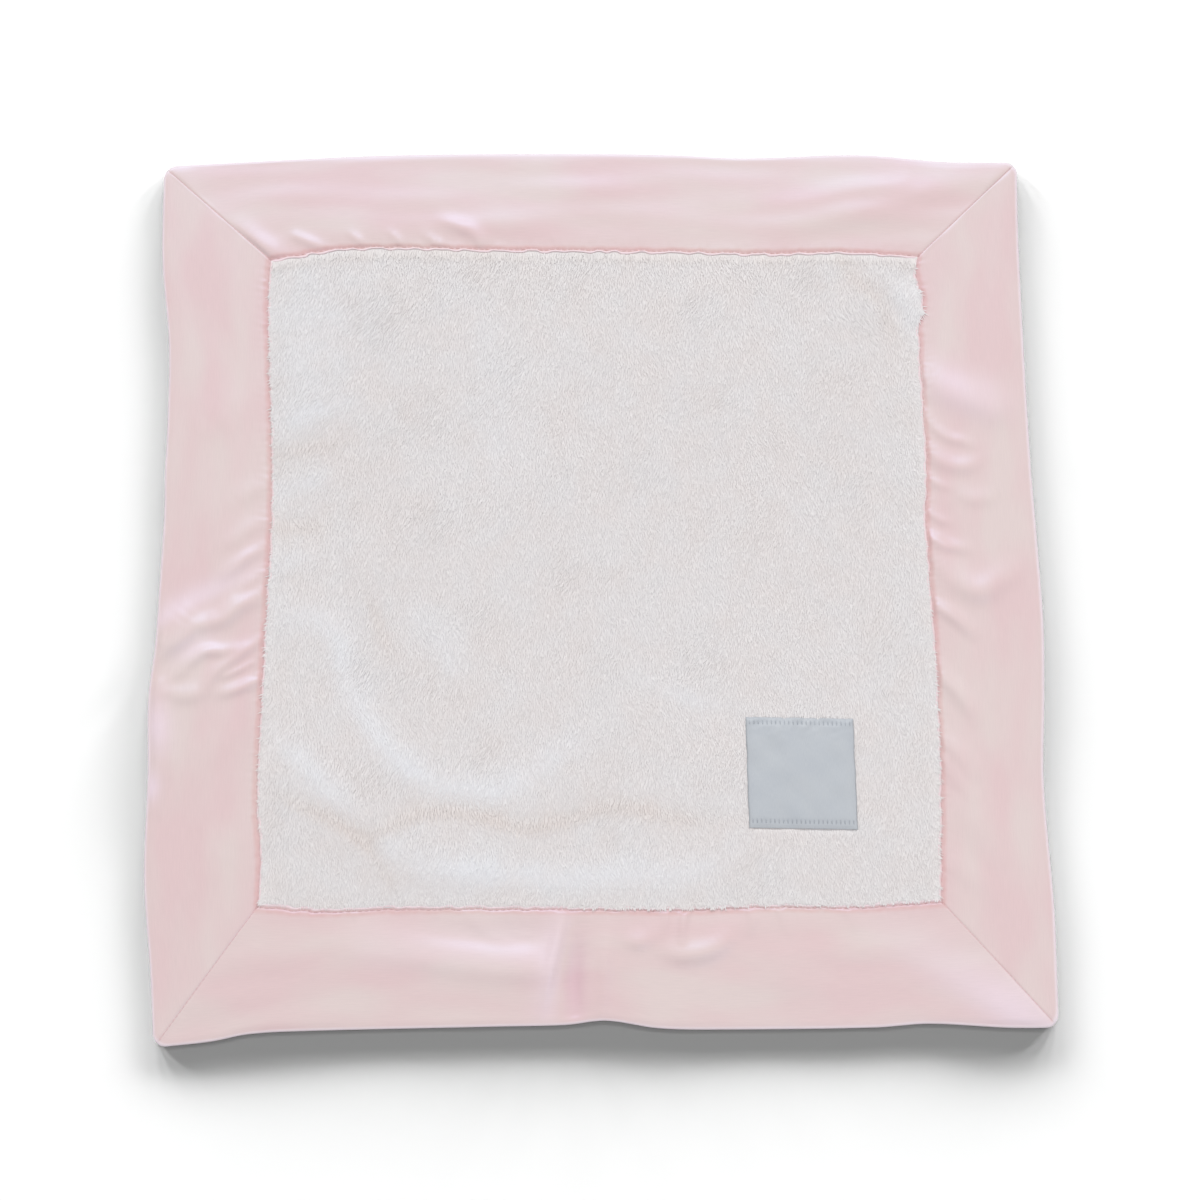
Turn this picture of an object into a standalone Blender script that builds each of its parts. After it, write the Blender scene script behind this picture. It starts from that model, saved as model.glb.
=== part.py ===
"""A comfort blanket lovey lying flat.

Two plush panels lie back to back. Four satin strips are folded over their edges, with mitred corners, and
a bare satin patch is sewn to the front. Metres, +Z up, +Y towards the top edge. The underside is at Z = 0.
"""

import math

import bmesh
import bpy
from mathutils import Matrix, Vector

# Cut and sewn sizes
BLANKET_WIDTH = 0.4064  # 16 in, from corner to corner, and the same the other way
BORDER_WIDTH = 0.0508  # 2 in of satin in view round the window
SEAM_ALLOWANCE = 0.0127  # plush inside the satin, 1/2 in
CORNER_RADIUS = 0.003
LABEL_WIDTH = 0.0495
LABEL_HEIGHT = 0.0508
LABEL_TURNING = 0.006  # folded under at the top and bottom of the patch
LABEL_FROM_SIDE = 0.0372  # from the seam at the right
LABEL_FROM_BOTTOM = 0.0325  # from the seam at the bottom

# Thicknesses
SATIN = 0.00045
PLUSH = 0.0045  # backing and pile of one panel
SEAM_PLUSH = 0.0009  # one panel pressed flat in the seam
FOLD_HEIGHT = 0.0018  # over both leaves at the border's outer fold
BORDER_CROWN = 0.0014  # how far the border puffs up between its fold and its seam
LABEL_CLOTH = 0.0003
LABEL_FOLD_HEIGHT = 0.0009  # over both plies at the patch's turned edges
CLEARANCE = 0.0003  # between pieces that touch

# How the cloth lies
RIM_GAP = 0.002  # flat plush in view beside the satin's rim
PLUSH_RISE = 0.010  # from the rim to the panel's full height
CORNER_LIE = 0.007  # most that a corner lies off the true square
WINDOW_LIE = 0.009  # most that a window corner lies off the true square
EDGE_WANDER = 0.007  # most that an outer edge bows off the line between its corners
SEAM_WANDER = 0.006  # most that a seam bows off the line between its corners
EDGE_LIFT = 0.0018  # most that the outer fold lifts off what it lies on
SATIN_FOLD_HEIGHT = 0.0022
SATIN_FOLD_WIDTH = 0.012
SWELL_HEIGHT = 0.0016
SWELL_WIDTH = 0.020
SWELL_LENGTH = 0.060
LABEL_LEAN = 0.9  # degrees, clockwise

# Mesh counts
STRIP_STEPS = 22
PANEL_STEPS = 11
LABEL_STEPS = 6
FOLD_ANGLES = (90, 45, 0, -45, -90)  # degrees round the outer fold

# The corners in order, clockwise from the top left, with the way out of each
CORNER_WAYS = ((-1, 1), (1, 1), (1, -1), (-1, -1))
CORNER_LIE_SHARES = ((-0.78, 0.41), (-0.29, 0.72), (0.69, 0.26), (0.37, -1.0))
WINDOW_LIE_SHARES = ((-0.27, 0.58), (-0.13, 0.79), (0.27, 1.0), (-0.13, 0.78))

# Shares along a side, clockwise, and of what it bows or lifts there
OUTER_EDGE_SHARES = {
    "top": (
        (0, 0), (0.06, 0.18), (0.27, 0.70), (0.50, 0.72), (0.60, 0.60),
        (0.68, 0.36), (0.82, 0.54), (0.92, 0.02), (1, 0),
    ),
    "right": (
        (0, 0), (0.10, -0.15), (0.35, -0.07), (0.45, 0.12), (0.55, 0.27),
        (0.63, 0.11), (0.73, -0.21), (0.87, 0.07), (0.94, 0.05), (1, 0),
    ),
    "bottom": (
        (0, 0), (0.05, -0.06), (0.14, -0.43), (0.20, -0.27), (0.36, -0.34), (0.44, -0.51),
        (0.50, -1.07), (0.545, -0.86), (0.62, -0.85), (0.85, -0.83), (0.90, -0.70), (0.94, -0.30), (1, 0),
    ),
    "left": (
        (0, 0), (0.07, 0.21), (0.18, 0.72), (0.30, 0.56), (0.38, 0.60), (0.44, 0.20), (0.52, -0.08),
        (0.59, -0.30), (0.64, -0.31), (0.69, -0.44), (0.79, -0.48), (0.89, 0.03), (1, 0),
    ),
}
SEAM_SHARES = {
    "top": ((0, 0), (0.12, 0.95), (0.38, 0.73), (0.63, 0.50), (0.76, 0.32), (0.88, 0.40), (1, 0)),
    "right": (
        (0, 0), (0.04, -0.25), (0.16, -0.13), (0.34, 0.08), (0.42, -0.15),
        (0.63, 0.27), (0.80, 0.33), (1, 0),
    ),
    "bottom": (
        (0, 0), (0.12, 0.40), (0.25, 0.30), (0.38, 0.52), (0.60, 0.38),
        (0.80, 0.30), (0.90, 0.46), (1, 0),
    ),
    "left": (
        (0, 0), (0.07, -0.13), (0.16, 0.22), (0.30, 0.0), (0.45, -0.22),
        (0.60, -0.46), (0.75, -0.25), (0.94, 0.15), (1, 0),
    ),
}
LIFT_SHARES = {
    "top": ((0, 0), (0.20, 0.15), (0.45, 0.35), (0.66, 0.10), (0.82, 0.55), (1, 0)),
    "right": ((0, 0), (0.25, 0.15), (0.54, 0.65), (0.73, 0.05), (0.88, 0.40), (1, 0)),
    "bottom": ((0, 0), (0.12, 0.30), (0.38, 0.10), (0.49, 1.0), (0.62, 0.15), (0.85, 0.30), (1, 0)),
    "left": ((0, 0), (0.18, 0.55), (0.34, 0.65), (0.46, 0.15), (0.70, 0.35), (0.88, 0.15), (1, 0)),
}

# The satin's main folds: shares along the side at the seam and at the edge, of a fold's width and height
SATIN_FOLD_SHARES = {
    "top": (
        (0.12, 0.10, 1.1, 0.45), (0.36, 0.31, 1.0, 0.75),
        (0.58, 0.60, 1.6, 0.45), (0.80, 0.88, 2.2, 0.65),
    ),
    "right": (
        (0.20, 0.33, 1.0, 0.75), (0.30, 0.44, 1.0, 0.85),
        (0.52, 0.57, 1.3, 0.50), (0.76, 0.74, 1.5, 0.65),
    ),
    "bottom": (
        (0.20, 0.16, 1.5, 0.50), (0.42, 0.44, 1.0, 1.0),
        (0.57, 0.56, 1.2, 0.85), (0.80, 0.74, 1.8, 0.60),
    ),
    "left": (
        (0.20, 0.18, 1.6, 0.50), (0.40, 0.31, 1.0, 0.75), (0.50, 0.41, 1.0, 1.0),
        (0.60, 0.51, 1.0, 0.80), (0.84, 0.80, 1.4, 0.45),
    ),
}
STRIP_FRONT_SHARES = (1.0, 0.92, 0.80, 0.64, 0.48, 0.32, 0.16)  # across the front leaf, from the seam
STRIP_BACK_SHARES = (0.35, 0.70, 1.0)  # across the back leaf, back to the seam
LIFTED_SHARE = 0.65  # of the border's width, from its outer fold, that can lift
LEVEL_SHARE = 0.70  # of the border's width at which the leaf has come up to the seam's height

# The plush's soft creases: shares across and up the window, degrees, shares of length, width and height
SWELL_SHARES = (
    (0.10, 0.18, -52, 1.0, 0.8, 1.0),
    (0.19, 0.10, -30, 1.1, 0.8, 0.8),
    (0.36, 0.11, 4, 1.3, 0.9, 0.9),
    (0.30, 0.27, 12, 1.4, 1.2, 0.6),
    (0.47, 0.66, 35, 1.2, 1.3, 0.5),
    (0.83, 0.80, -10, 1.1, 1.3, 0.5),
    (0.16, 0.52, 20, 1.1, 1.1, 0.6),
)

SIDES = ("top", "right", "bottom", "left")
MITRE_SHARE = math.sqrt(0.5)  # of a length along the mitre, on either side of the corner
WINDOW_SIDE = BLANKET_WIDTH - BORDER_WIDTH - BORDER_WIDTH
SEAM_TOP = SATIN + SEAM_PLUSH + SEAM_PLUSH + SATIN + CLEARANCE + CLEARANCE + CLEARANCE
BACK_SEAM_BOTTOM = SATIN + CLEARANCE
BACK_SEAM_TOP = BACK_SEAM_BOTTOM + SEAM_PLUSH
FRONT_SEAM_BOTTOM = BACK_SEAM_TOP + CLEARANCE
FRONT_SEAM_TOP = FRONT_SEAM_BOTTOM + SEAM_PLUSH
FRONT_BOTTOM = PLUSH + CLEARANCE
FRONT_TOP = FRONT_BOTTOM + PLUSH


def clear_scene():
    for old in list(bpy.data.objects):
        bpy.data.objects.remove(old, do_unlink=True)


def eased(share):
    """0 to 1, level at both ends."""
    share = min(max(share, 0.0), 1.0)
    return share * share * (3 - 2 * share)


def smooth_through(points, place):
    """The height at place of the smooth curve through (place, height) points."""
    places = [point[0] for point in points]
    heights = [point[1] for point in points]
    last = len(points) - 1
    slopes = []
    for i in range(last + 1):
        before, after = max(i - 1, 0), min(i + 1, last)
        slopes.append((heights[after] - heights[before]) / (places[after] - places[before]))
    i = 0
    while i < last - 1 and place > places[i + 1]:
        i += 1
    run = places[i + 1] - places[i]
    t = min(max((place - places[i]) / run, 0.0), 1.0)
    return (
        heights[i] * (1 + 2 * t) * (1 - t) ** 2
        + slopes[i] * run * t * (1 - t) ** 2
        + heights[i + 1] * t * t * (3 - 2 * t)
        + slopes[i + 1] * run * t * t * (t - 1)
    )


def corner_points(side_length, lie, lie_shares):
    """The four corners of a square as it lies, clockwise from the top left."""
    points = []
    for (way_x, way_y), (share_x, share_y) in zip(CORNER_WAYS, lie_shares):
        x = way_x * side_length / 2 + share_x * lie
        y = way_y * side_length / 2 + share_y * lie
        points.append(Vector((x, y)))
    return points


OUTER_CORNERS = corner_points(BLANKET_WIDTH, CORNER_LIE, CORNER_LIE_SHARES)
WINDOW_CORNERS = corner_points(WINDOW_SIDE, WINDOW_LIE, WINDOW_LIE_SHARES)


def side_ends(corners, side):
    """The side's start and end corners, its unit direction and its unit normal away from the window."""
    first = SIDES.index(side)
    start, end = corners[first], corners[(first + 1) % len(SIDES)]
    along = (end - start).normalized()
    return start, end, along, Vector((-along.y, along.x))


def corner_drop(distance):
    """How far a round corner draws the edge in, at this distance from the corner's tip."""
    short = max(CORNER_RADIUS - distance, 0.0)
    return CORNER_RADIUS - math.sqrt(max(CORNER_RADIUS**2 - short**2, 0.0))


def outer_point(side, share):
    """A point of the outer fold, share of the way from one mitre to the next."""
    start, end, along, outward = side_ends(OUTER_CORNERS, side)
    length = (end - start).length
    mitre = CORNER_RADIUS * (1 - MITRE_SHARE)
    distance = mitre + share * (length - mitre - mitre)
    bow = EDGE_WANDER * smooth_through(OUTER_EDGE_SHARES[side], share)
    drop = corner_drop(distance) + corner_drop(length - distance)
    return start + along * distance + outward * (bow - drop)


def seam_point(side, share):
    """A point of the seam round the window, share of the way from one window corner to the next."""
    start, end, _, outward = side_ends(WINDOW_CORNERS, side)
    return start.lerp(end, share) + outward * SEAM_WANDER * smooth_through(SEAM_SHARES[side], share)


def strip_shares():
    """Shares along a strip: a few round each mitred corner, and even steps between."""
    near = [0.0, CORNER_RADIUS / BLANKET_WIDTH / 2, CORNER_RADIUS / BLANKET_WIDTH]
    even = [near[-1] + (1 - 2 * near[-1]) * step / STRIP_STEPS for step in range(1, STRIP_STEPS)]
    return near + even + [1 - share for share in reversed(near)]


def border_point(side, share, across):
    """A point of the border in plan, across 0 at the fold and 1 at the seam, clear of the mitre."""
    point = outer_point(side, share).lerp(seam_point(side, share), across)
    shift = CLEARANCE * MITRE_SHARE
    along = side_ends(OUTER_CORNERS, side)[2]
    if share == 0.0:
        return point + along * shift
    if share == 1.0:
        return point - along * shift
    return point


def satin_folds(side, share, across):
    """Height of the main folds that cross the border, level at the seam and at the outer fold."""
    total = 0.0
    for at_seam, at_edge, width_share, height_share in SATIN_FOLD_SHARES[side]:
        crest = at_edge + (at_seam - at_edge) * across
        away = (share - crest) * BLANKET_WIDTH / (width_share * SATIN_FOLD_WIDTH)
        total += height_share * SATIN_FOLD_HEIGHT * math.exp(-away * away)
    ends = eased(share * BLANKET_WIDTH / BORDER_WIDTH) * eased((1 - share) * BLANKET_WIDTH / BORDER_WIDTH)
    return total * ends * math.sin(math.pi * across)


def lift(side, share, across):
    """Height of the border's underside."""
    near_edge = 1 - eased(across / LIFTED_SHARE)
    return EDGE_LIFT * max(smooth_through(LIFT_SHARES[side], share), 0.0) * near_edge


def front_height(side, share, across):
    """Height of the front leaf's upper face."""
    level = FOLD_HEIGHT + (SEAM_TOP - FOLD_HEIGHT) * eased(across / LEVEL_SHARE)
    crown = BORDER_CROWN * math.sin(math.pi * across)
    return lift(side, share, across) + level + crown + satin_folds(side, share, across)


def strip_section(side, share):
    """The strip's outer face at one place along it: over the front leaf, round the fold, back under."""
    bend = FOLD_HEIGHT / 2
    bend_share = bend / BORDER_WIDTH
    section = []
    for across in STRIP_FRONT_SHARES:
        section.append((*border_point(side, share, across), front_height(side, share, across)))
    for degrees in FOLD_ANGLES:
        across = bend_share * (1 - math.cos(math.radians(degrees)))
        height = lift(side, share, across) + bend + bend * math.sin(math.radians(degrees))
        section.append((*border_point(side, share, across), height))
    for across in STRIP_BACK_SHARES:
        section.append((*border_point(side, share, across), lift(side, share, across)))
    return section


def panel_shares():
    """Shares across the window of a panel's mesh lines, with its seam allowance outside 0 and 1."""
    near = [RIM_GAP, RIM_GAP + PLUSH_RISE / 2, RIM_GAP + PLUSH_RISE]
    near = [distance / WINDOW_SIDE for distance in near]
    even = [near[-1] + (1 - 2 * near[-1]) * step / PANEL_STEPS for step in range(1, PANEL_STEPS)]
    first = [-SEAM_ALLOWANCE / WINDOW_SIDE] + near
    return first + even + [1 - share for share in reversed(first)]


def window_point(across, up):
    """A point in plan, 0 to 1 across the window from the left and up from the bottom, or just outside."""
    x, y = min(max(across, 0.0), 1.0), min(max(up, 0.0), 1.0)
    top_left, top_right, bottom_right, bottom_left = WINDOW_CORNERS
    top, bottom = seam_point("top", x), seam_point("bottom", 1 - x)
    right, left = seam_point("right", 1 - y), seam_point("left", y)
    ruled = bottom.lerp(top, y) + left.lerp(right, x)
    corners = bottom_left.lerp(bottom_right, x).lerp(top_left.lerp(top_right, x), y)
    outside = Vector((across - x, up - y)) * WINDOW_SIDE
    return ruled - corners + outside


def rise(across, up):
    """0 in the seam and 1 where the panel has its full height."""
    inside = min(across, 1 - across, up, 1 - up) * WINDOW_SIDE
    return eased((inside - RIM_GAP) / PLUSH_RISE)


def swells(across, up):
    """Height of the plush's soft creases."""
    total = 0.0
    for centre_x, centre_y, degrees, length_share, width_share, height_share in SWELL_SHARES:
        x, y = (across - centre_x) * WINDOW_SIDE, (up - centre_y) * WINDOW_SIDE
        angle = math.radians(degrees)
        along = (x * math.cos(angle) + y * math.sin(angle)) / (length_share * SWELL_LENGTH)
        aside = (y * math.cos(angle) - x * math.sin(angle)) / (width_share * SWELL_WIDTH)
        total += height_share * SWELL_HEIGHT * math.exp(-along * along - aside * aside)
    return total


def back_bottom(across, up):
    return BACK_SEAM_BOTTOM * (1 - rise(across, up))


def back_top(across, up):
    return BACK_SEAM_TOP + (PLUSH - BACK_SEAM_TOP) * rise(across, up)


def front_bottom(across, up):
    return back_top(across, up) + CLEARANCE


def front_top(across, up):
    height = rise(across, up)
    return FRONT_SEAM_TOP + (FRONT_TOP - FRONT_SEAM_TOP + swells(across, up)) * height


def panel_faces(height):
    """A grid of points over the panel, at the heights that height(across, up) gives."""
    shares = panel_shares()
    return [[(*window_point(across, up), height(across, up)) for across in shares] for up in shares]


def on_front(across, up):
    """The point of the front panel's faceted upper face at these shares."""
    shares = panel_shares()

    def cell(share):
        i = 0
        while i < len(shares) - 2 and share > shares[i + 1]:
            i += 1
        return i, (share - shares[i]) / (shares[i + 1] - shares[i])

    i, part_x = cell(across)
    j, part_y = cell(up)
    corners = []
    for row in (j, j + 1):
        for column in (i, i + 1):
            x, y = window_point(shares[column], shares[row])
            corners.append(Vector((x, y, front_top(shares[column], shares[row]))))
    low, high = corners[0].lerp(corners[1], part_x), corners[2].lerp(corners[3], part_x)
    return low.lerp(high, part_y)


def label_section():
    """The patch from end to end, both turned under: (distance from its middle, height over the plush)."""
    half, bend = LABEL_HEIGHT / 2, LABEL_FOLD_HEIGHT / 2
    under = [(half - LABEL_TURNING, 0.0), (half - bend, 0.0)]
    turn = []
    for degrees in FOLD_ANGLES[1:-1]:
        angle = math.radians(-degrees)
        turn.append((half - bend + bend * math.cos(angle), bend + bend * math.sin(angle)))
    upper_end = under + turn
    over = []
    for step in range(LABEL_STEPS + 1):
        over.append(((half - bend) * (1 - 2 * step / LABEL_STEPS), LABEL_FOLD_HEIGHT))
    lower_end = [(-distance, height) for distance, height in reversed(upper_end)]
    return upper_end + over + lower_end


def label_faces():
    """A grid of points over the patch's outer face, laid on the plush."""
    centre_x = 1 - (LABEL_FROM_SIDE + LABEL_WIDTH / 2) / WINDOW_SIDE
    centre_y = (LABEL_FROM_BOTTOM + LABEL_HEIGHT / 2) / WINDOW_SIDE
    middle = window_point(centre_x, centre_y)
    lean = Matrix.Rotation(math.radians(-LABEL_LEAN), 2)
    rows = []
    for distance, height in label_section():
        row = []
        for step in range(LABEL_STEPS + 1):
            aside = LABEL_WIDTH * (step / LABEL_STEPS - 1 / 2)
            turned = lean @ Vector((aside, distance))
            under = on_front(centre_x + turned.x / WINDOW_SIDE, centre_y + turned.y / WINDOW_SIDE)
            row.append((*(middle + turned), under.z + CLEARANCE + height))
        rows.append(row)
    return rows


def material(name, colour, roughness, sheen):
    made = bpy.data.materials.new(name)
    made.use_nodes = True
    shader = made.node_tree.nodes["Principled BSDF"]
    shader.inputs["Base Color"].default_value = (*colour, 1.0)
    shader.inputs["Roughness"].default_value = roughness
    shader.inputs["Metallic"].default_value = 0.0
    shader.inputs["Sheen Weight"].default_value = sheen
    return made


def add_grid(mesh, rows):
    """Adds a grid of points and its quads, and gives the rows of vertices."""
    made = [[mesh.verts.new(point) for point in row] for row in rows]
    for lower, upper in zip(made, made[1:]):
        for i in range(len(lower) - 1):
            mesh.faces.new((lower[i], upper[i], upper[i + 1], lower[i + 1]))
    return made


def border_loop(rows):
    """The vertices round a grid, in order."""
    right = [row[-1] for row in rows[1:-1]]
    left = [row[0] for row in reversed(rows[1:-1])]
    return rows[0] + right + list(reversed(rows[-1])) + left


def add_piece(name, mesh, cloth, parent):
    """Makes the object, with its origin at the middle of its underside."""
    low = [min(vertex.co[axis] for vertex in mesh.verts) for axis in range(3)]
    high = [max(vertex.co[axis] for vertex in mesh.verts) for axis in range(3)]
    origin = Vector(((low[0] + high[0]) / 2, (low[1] + high[1]) / 2, low[2]))
    bmesh.ops.translate(mesh, verts=mesh.verts, vec=-origin)
    data = bpy.data.meshes.new(name)
    mesh.to_mesh(data)
    mesh.free()
    data.shade_smooth()
    data.materials.append(cloth)
    piece = bpy.data.objects.new(name, data)
    piece.location = origin
    piece.parent = parent
    bpy.context.scene.collection.objects.link(piece)
    return piece


def thicken(piece, thickness):
    """Gives a sheet its thickness, inwards from the face that was drawn."""
    solidify = piece.modifiers.new("cloth", "SOLIDIFY")
    solidify.thickness = thickness
    solidify.offset = -1.0
    solidify.use_even_offset = True
    solidify.use_rim = True


def sheet_piece(name, rows, thickness, cloth, parent):
    """A piece cut from one sheet, drawn by its outer face."""
    mesh = bmesh.new()
    add_grid(mesh, rows)
    thicken(add_piece(name, mesh, cloth, parent), thickness)


def slab_piece(name, bottom, top, cloth, parent):
    """A closed piece between two grids of points."""
    mesh = bmesh.new()
    lower, upper = add_grid(mesh, bottom), add_grid(mesh, top)
    low_loop, high_loop = border_loop(lower), border_loop(upper)
    for i in range(len(low_loop)):
        after = (i + 1) % len(low_loop)
        mesh.faces.new((low_loop[i], low_loop[after], high_loop[after], high_loop[i]))
    bmesh.ops.recalc_face_normals(mesh, faces=mesh.faces)
    add_piece(name, mesh, cloth, parent)


def plan_centre():
    """The middle of the outline's box in plan."""
    points = [outer_point(side, share) for side in SIDES for share in strip_shares()]
    low_x, high_x = min(point.x for point in points), max(point.x for point in points)
    low_y, high_y = min(point.y for point in points), max(point.y for point in points)
    return Vector(((low_x + high_x) / 2, (low_y + high_y) / 2, 0.0))


def main():
    clear_scene()
    plush = material("cream_plush", (0.80, 0.74, 0.70), 0.95, 0.5)
    satin = material("pink_satin", (0.82, 0.60, 0.61), 0.38, 0.2)
    ribbon = material("grey_satin", (0.55, 0.59, 0.63), 0.45, 0.1)

    lovey = bpy.data.objects.new("lovey", None)
    lovey.location = -plan_centre()
    bpy.context.scene.collection.objects.link(lovey)

    slab_piece("plush_back", panel_faces(back_bottom), panel_faces(back_top), plush, lovey)
    slab_piece("plush_front", panel_faces(front_bottom), panel_faces(front_top), plush, lovey)
    for side in SIDES:
        sections = [strip_section(side, share) for share in strip_shares()]
        sheet_piece(f"border_{side}", sections, SATIN, satin, lovey)
    sheet_piece("label_patch", label_faces(), LABEL_CLOTH, ribbon, lovey)


main()
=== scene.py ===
"""Looks of a comfort blanket lovey: satin border, plush panels, patch, threads, floor, lights and camera."""

import math
from functools import partial

import bpy
import numpy as np
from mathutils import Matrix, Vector


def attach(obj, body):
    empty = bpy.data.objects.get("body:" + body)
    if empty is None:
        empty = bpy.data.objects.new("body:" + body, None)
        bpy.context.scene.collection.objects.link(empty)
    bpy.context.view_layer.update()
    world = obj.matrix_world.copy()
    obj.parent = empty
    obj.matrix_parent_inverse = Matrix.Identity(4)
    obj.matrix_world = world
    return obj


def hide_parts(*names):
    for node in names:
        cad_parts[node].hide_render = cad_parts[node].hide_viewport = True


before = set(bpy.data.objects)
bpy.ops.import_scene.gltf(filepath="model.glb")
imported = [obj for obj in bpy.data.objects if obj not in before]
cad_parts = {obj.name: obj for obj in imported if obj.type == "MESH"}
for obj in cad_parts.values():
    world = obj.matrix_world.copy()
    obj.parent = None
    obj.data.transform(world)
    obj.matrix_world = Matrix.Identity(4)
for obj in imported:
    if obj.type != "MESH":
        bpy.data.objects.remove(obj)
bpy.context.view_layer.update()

# The blanket in plan. Plan points are complex numbers, x + y j
BLANKET_SIDE = 0.4064
BORDER_WIDTH = 0.0508
WINDOW_SIDE = BLANKET_SIDE - BORDER_WIDTH - BORDER_WIDTH
SEAM_ALLOWANCE = 0.0127
CORNER_RADIUS = 0.006
CORNER_LIE = 0.007  # how far the corners lie off a square's
WINDOW_LIE = 0.009
EDGE_WANDER = 0.007  # how far the outer edge bows out
SEAM_WANDER = 0.006  # how far the window's edge bows out
EDGE_LIFT = 0.0004  # of the outer edge off the table
SIDES = ("top", "right", "bottom", "left")  # clockwise, each from its first corner, the top one from the left
CORNER_WAYS = (-1 + 1j, 1 + 1j, 1 - 1j, -1 - 1j)
CORNER_LIE_SHARES = (-0.78 + 0.41j, -0.29 + 0.72j, 0.69 + 0.26j, 0.37 - 1.0j)
WINDOW_LIE_SHARES = (-0.27 + 0.58j, -0.13 + 0.79j, 0.27 + 1.0j, -0.13 + 0.78j)
# Along each side: (share of the side, share of the wander or of the lift)
OUTER_EDGE_SHARES = {
    "top": (
        (0, 0), (0.06, 0.18), (0.27, 0.7), (0.5, 0.72), (0.6, 0.6), (0.68, 0.36), (0.82, 0.54),
        (0.92, 0.02), (1, 0),
    ),
    "right": (
        (0, 0), (0.1, -0.15), (0.35, -0.07), (0.45, 0.12), (0.55, 0.27), (0.63, 0.11), (0.73, -0.21),
        (0.87, 0.07), (0.94, 0.05), (1, 0),
    ),
    "bottom": (
        (0, 0), (0.05, -0.06), (0.14, -0.43), (0.2, -0.27), (0.36, -0.34), (0.44, -0.51), (0.5, -1.07),
        (0.545, -0.86), (0.62, -0.85), (0.85, -0.83), (0.9, -0.7), (0.94, -0.3), (1, 0),
    ),
    "left": (
        (0, 0), (0.07, 0.21), (0.18, 0.72), (0.3, 0.56), (0.38, 0.6), (0.44, 0.2), (0.52, -0.08),
        (0.59, -0.3), (0.64, -0.31), (0.69, -0.44), (0.79, -0.48), (0.89, 0.03), (1, 0),
    ),
}
SEAM_SHARES = {
    "top": ((0, 0), (0.12, 0.95), (0.38, 0.73), (0.63, 0.5), (0.76, 0.32), (0.88, 0.4), (1, 0)),
    "right": (
        (0, 0), (0.03, -0.22), (0.05, 0.05), (0.085, 0.3), (0.11, -0.1), (0.16, -0.13), (0.34, 0.08),
        (0.42, -0.15), (0.63, 0.27), (0.8, 0.33), (1, 0),
    ),
    "bottom": (
        (0, 0), (0.12, 0.4), (0.25, 0.3), (0.38, 0.52), (0.6, 0.38), (0.8, 0.3), (0.9, 0.46), (1, 0),
    ),
    "left": (
        (0, 0), (0.07, -0.13), (0.16, 0.22), (0.3, 0), (0.45, -0.22), (0.6, -0.46), (0.75, -0.25),
        (0.94, 0.15), (1, 0),
    ),
}
LIFT_SHARES = {
    "top": ((0, 0), (0.1, 1.1), (0.45, 1.5), (0.66, 1.3), (0.82, 1.5), (0.92, 1.2), (1, 0)),
    "right": ((0, 0), (0.25, 0.15), (0.54, 0.65), (0.73, 0.05), (0.88, 0.4), (1, 0)),
    "bottom": ((0, 0), (0.12, 0.3), (0.38, 0.1), (0.49, 1), (0.62, 0.15), (0.85, 0.3), (1, 0)),
    "left": ((0, 0), (0.18, 0.55), (0.34, 0.65), (0.46, 0.15), (0.7, 0.35), (0.88, 0.15), (1, 0)),
}

# Heights over the table
SEAM_TOP = 0.0033  # the satin beside the seam
FOLD_HEIGHT = 0.0023  # the satin at the outer fold
SATIN_CROWN = 0.0003  # how much more it has between the two
LIFTED_SHARE = 0.65  # of the border's width, over which the edge's lift dies away
LEVEL_SHARE = 0.70  # of the border's width, over which the satin climbs towards the seam
PANEL_TOP = 0.0064
PANEL_SPLIT = 0.0048  # where the two panels' backings lie on each other
SWELL_HEIGHT = 0.0015
SWELL_WIDTH = 0.020
SWELL_LENGTH = 0.060
# Swells of the plush: share across, share up, degrees, then shares of the length, width and height
SWELL_SHARES = (
    (0.1, 0.18, -52, 1, 0.8, 1), (0.19, 0.1, -30, 1.1, 0.8, 0.8), (0.36, 0.11, 4, 1.3, 0.9, 0.9),
    (0.3, 0.27, 12, 1.4, 1.2, 0.6), (0.47, 0.66, 35, 1.2, 1.3, 0.5), (0.83, 0.8, -10, 1.1, 1.3, 0.5),
    (0.16, 0.52, 20, 1.1, 1.1, 0.6),
)

# The satin
CLOTH = 0.00022
LIP_RADIUS = 0.00045  # the turned edge at the window
TURNED_UNDER = 0.006
UNDER_CLEARANCE = 2.5 * CLOTH  # from the leaf's upper face down to the cloth turned under it
LIP_WAVER = 0.00045  # how far the lip strays off the seam's line
LIP_WAVER_LIMIT = 1.4
LIP_WAVER_LENGTH = 0.009
LIP_WAVER_REACH = 0.003
LIP_WELT = 0.0003  # how far the turned edge stands over the groove beside it
LIP_WELT_WIDTH = 0.0008
GROOVE_FROM_LIP = 0.0015  # where the row of thread pulls the satin down
GROOVE_WIDTH = 0.0006
GROOVE_DEPTH = 0.0003
RIM_DROP = 0.0007  # how far the leaf rolls down towards the outer fold
RIM_REACH = 0.0036
TOP_WELT = 0.0004  # how much more the turned edge stands over the plush along the top
TOP_RIM_LESS = 0.7  # of the outer fold's drop, along the top
TOP_END_REACH = 0.012  # from the mitres, over which these two grow
MITRE_GAP = 0.00001
MITRE_ROLL = 0.0009  # how far from the mitre's seam the satin starts to roll down
MITRE_DEPTH = 0.0003
MITRE_FROM_FOLD = 0.002
MITRE_STILL = 0.002  # from the mitre to where the folds have their height
SEAM_STILL = 0.003  # the same from the lip
FOLD_STILL = 0.004  # the same from the outer fold
VALLEY_REACH = 0.004  # past the panel's hidden edge, to where a valley may be deep
FOLD_WIDTH = 0.0054
FOLD_RISE = 0.0015
BRIGHT_WAY = complex(-0.15, 0.99)  # the folds' gentle flanks face this way
CREST_STEPS = 3  # along each span between a crest's points
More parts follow.
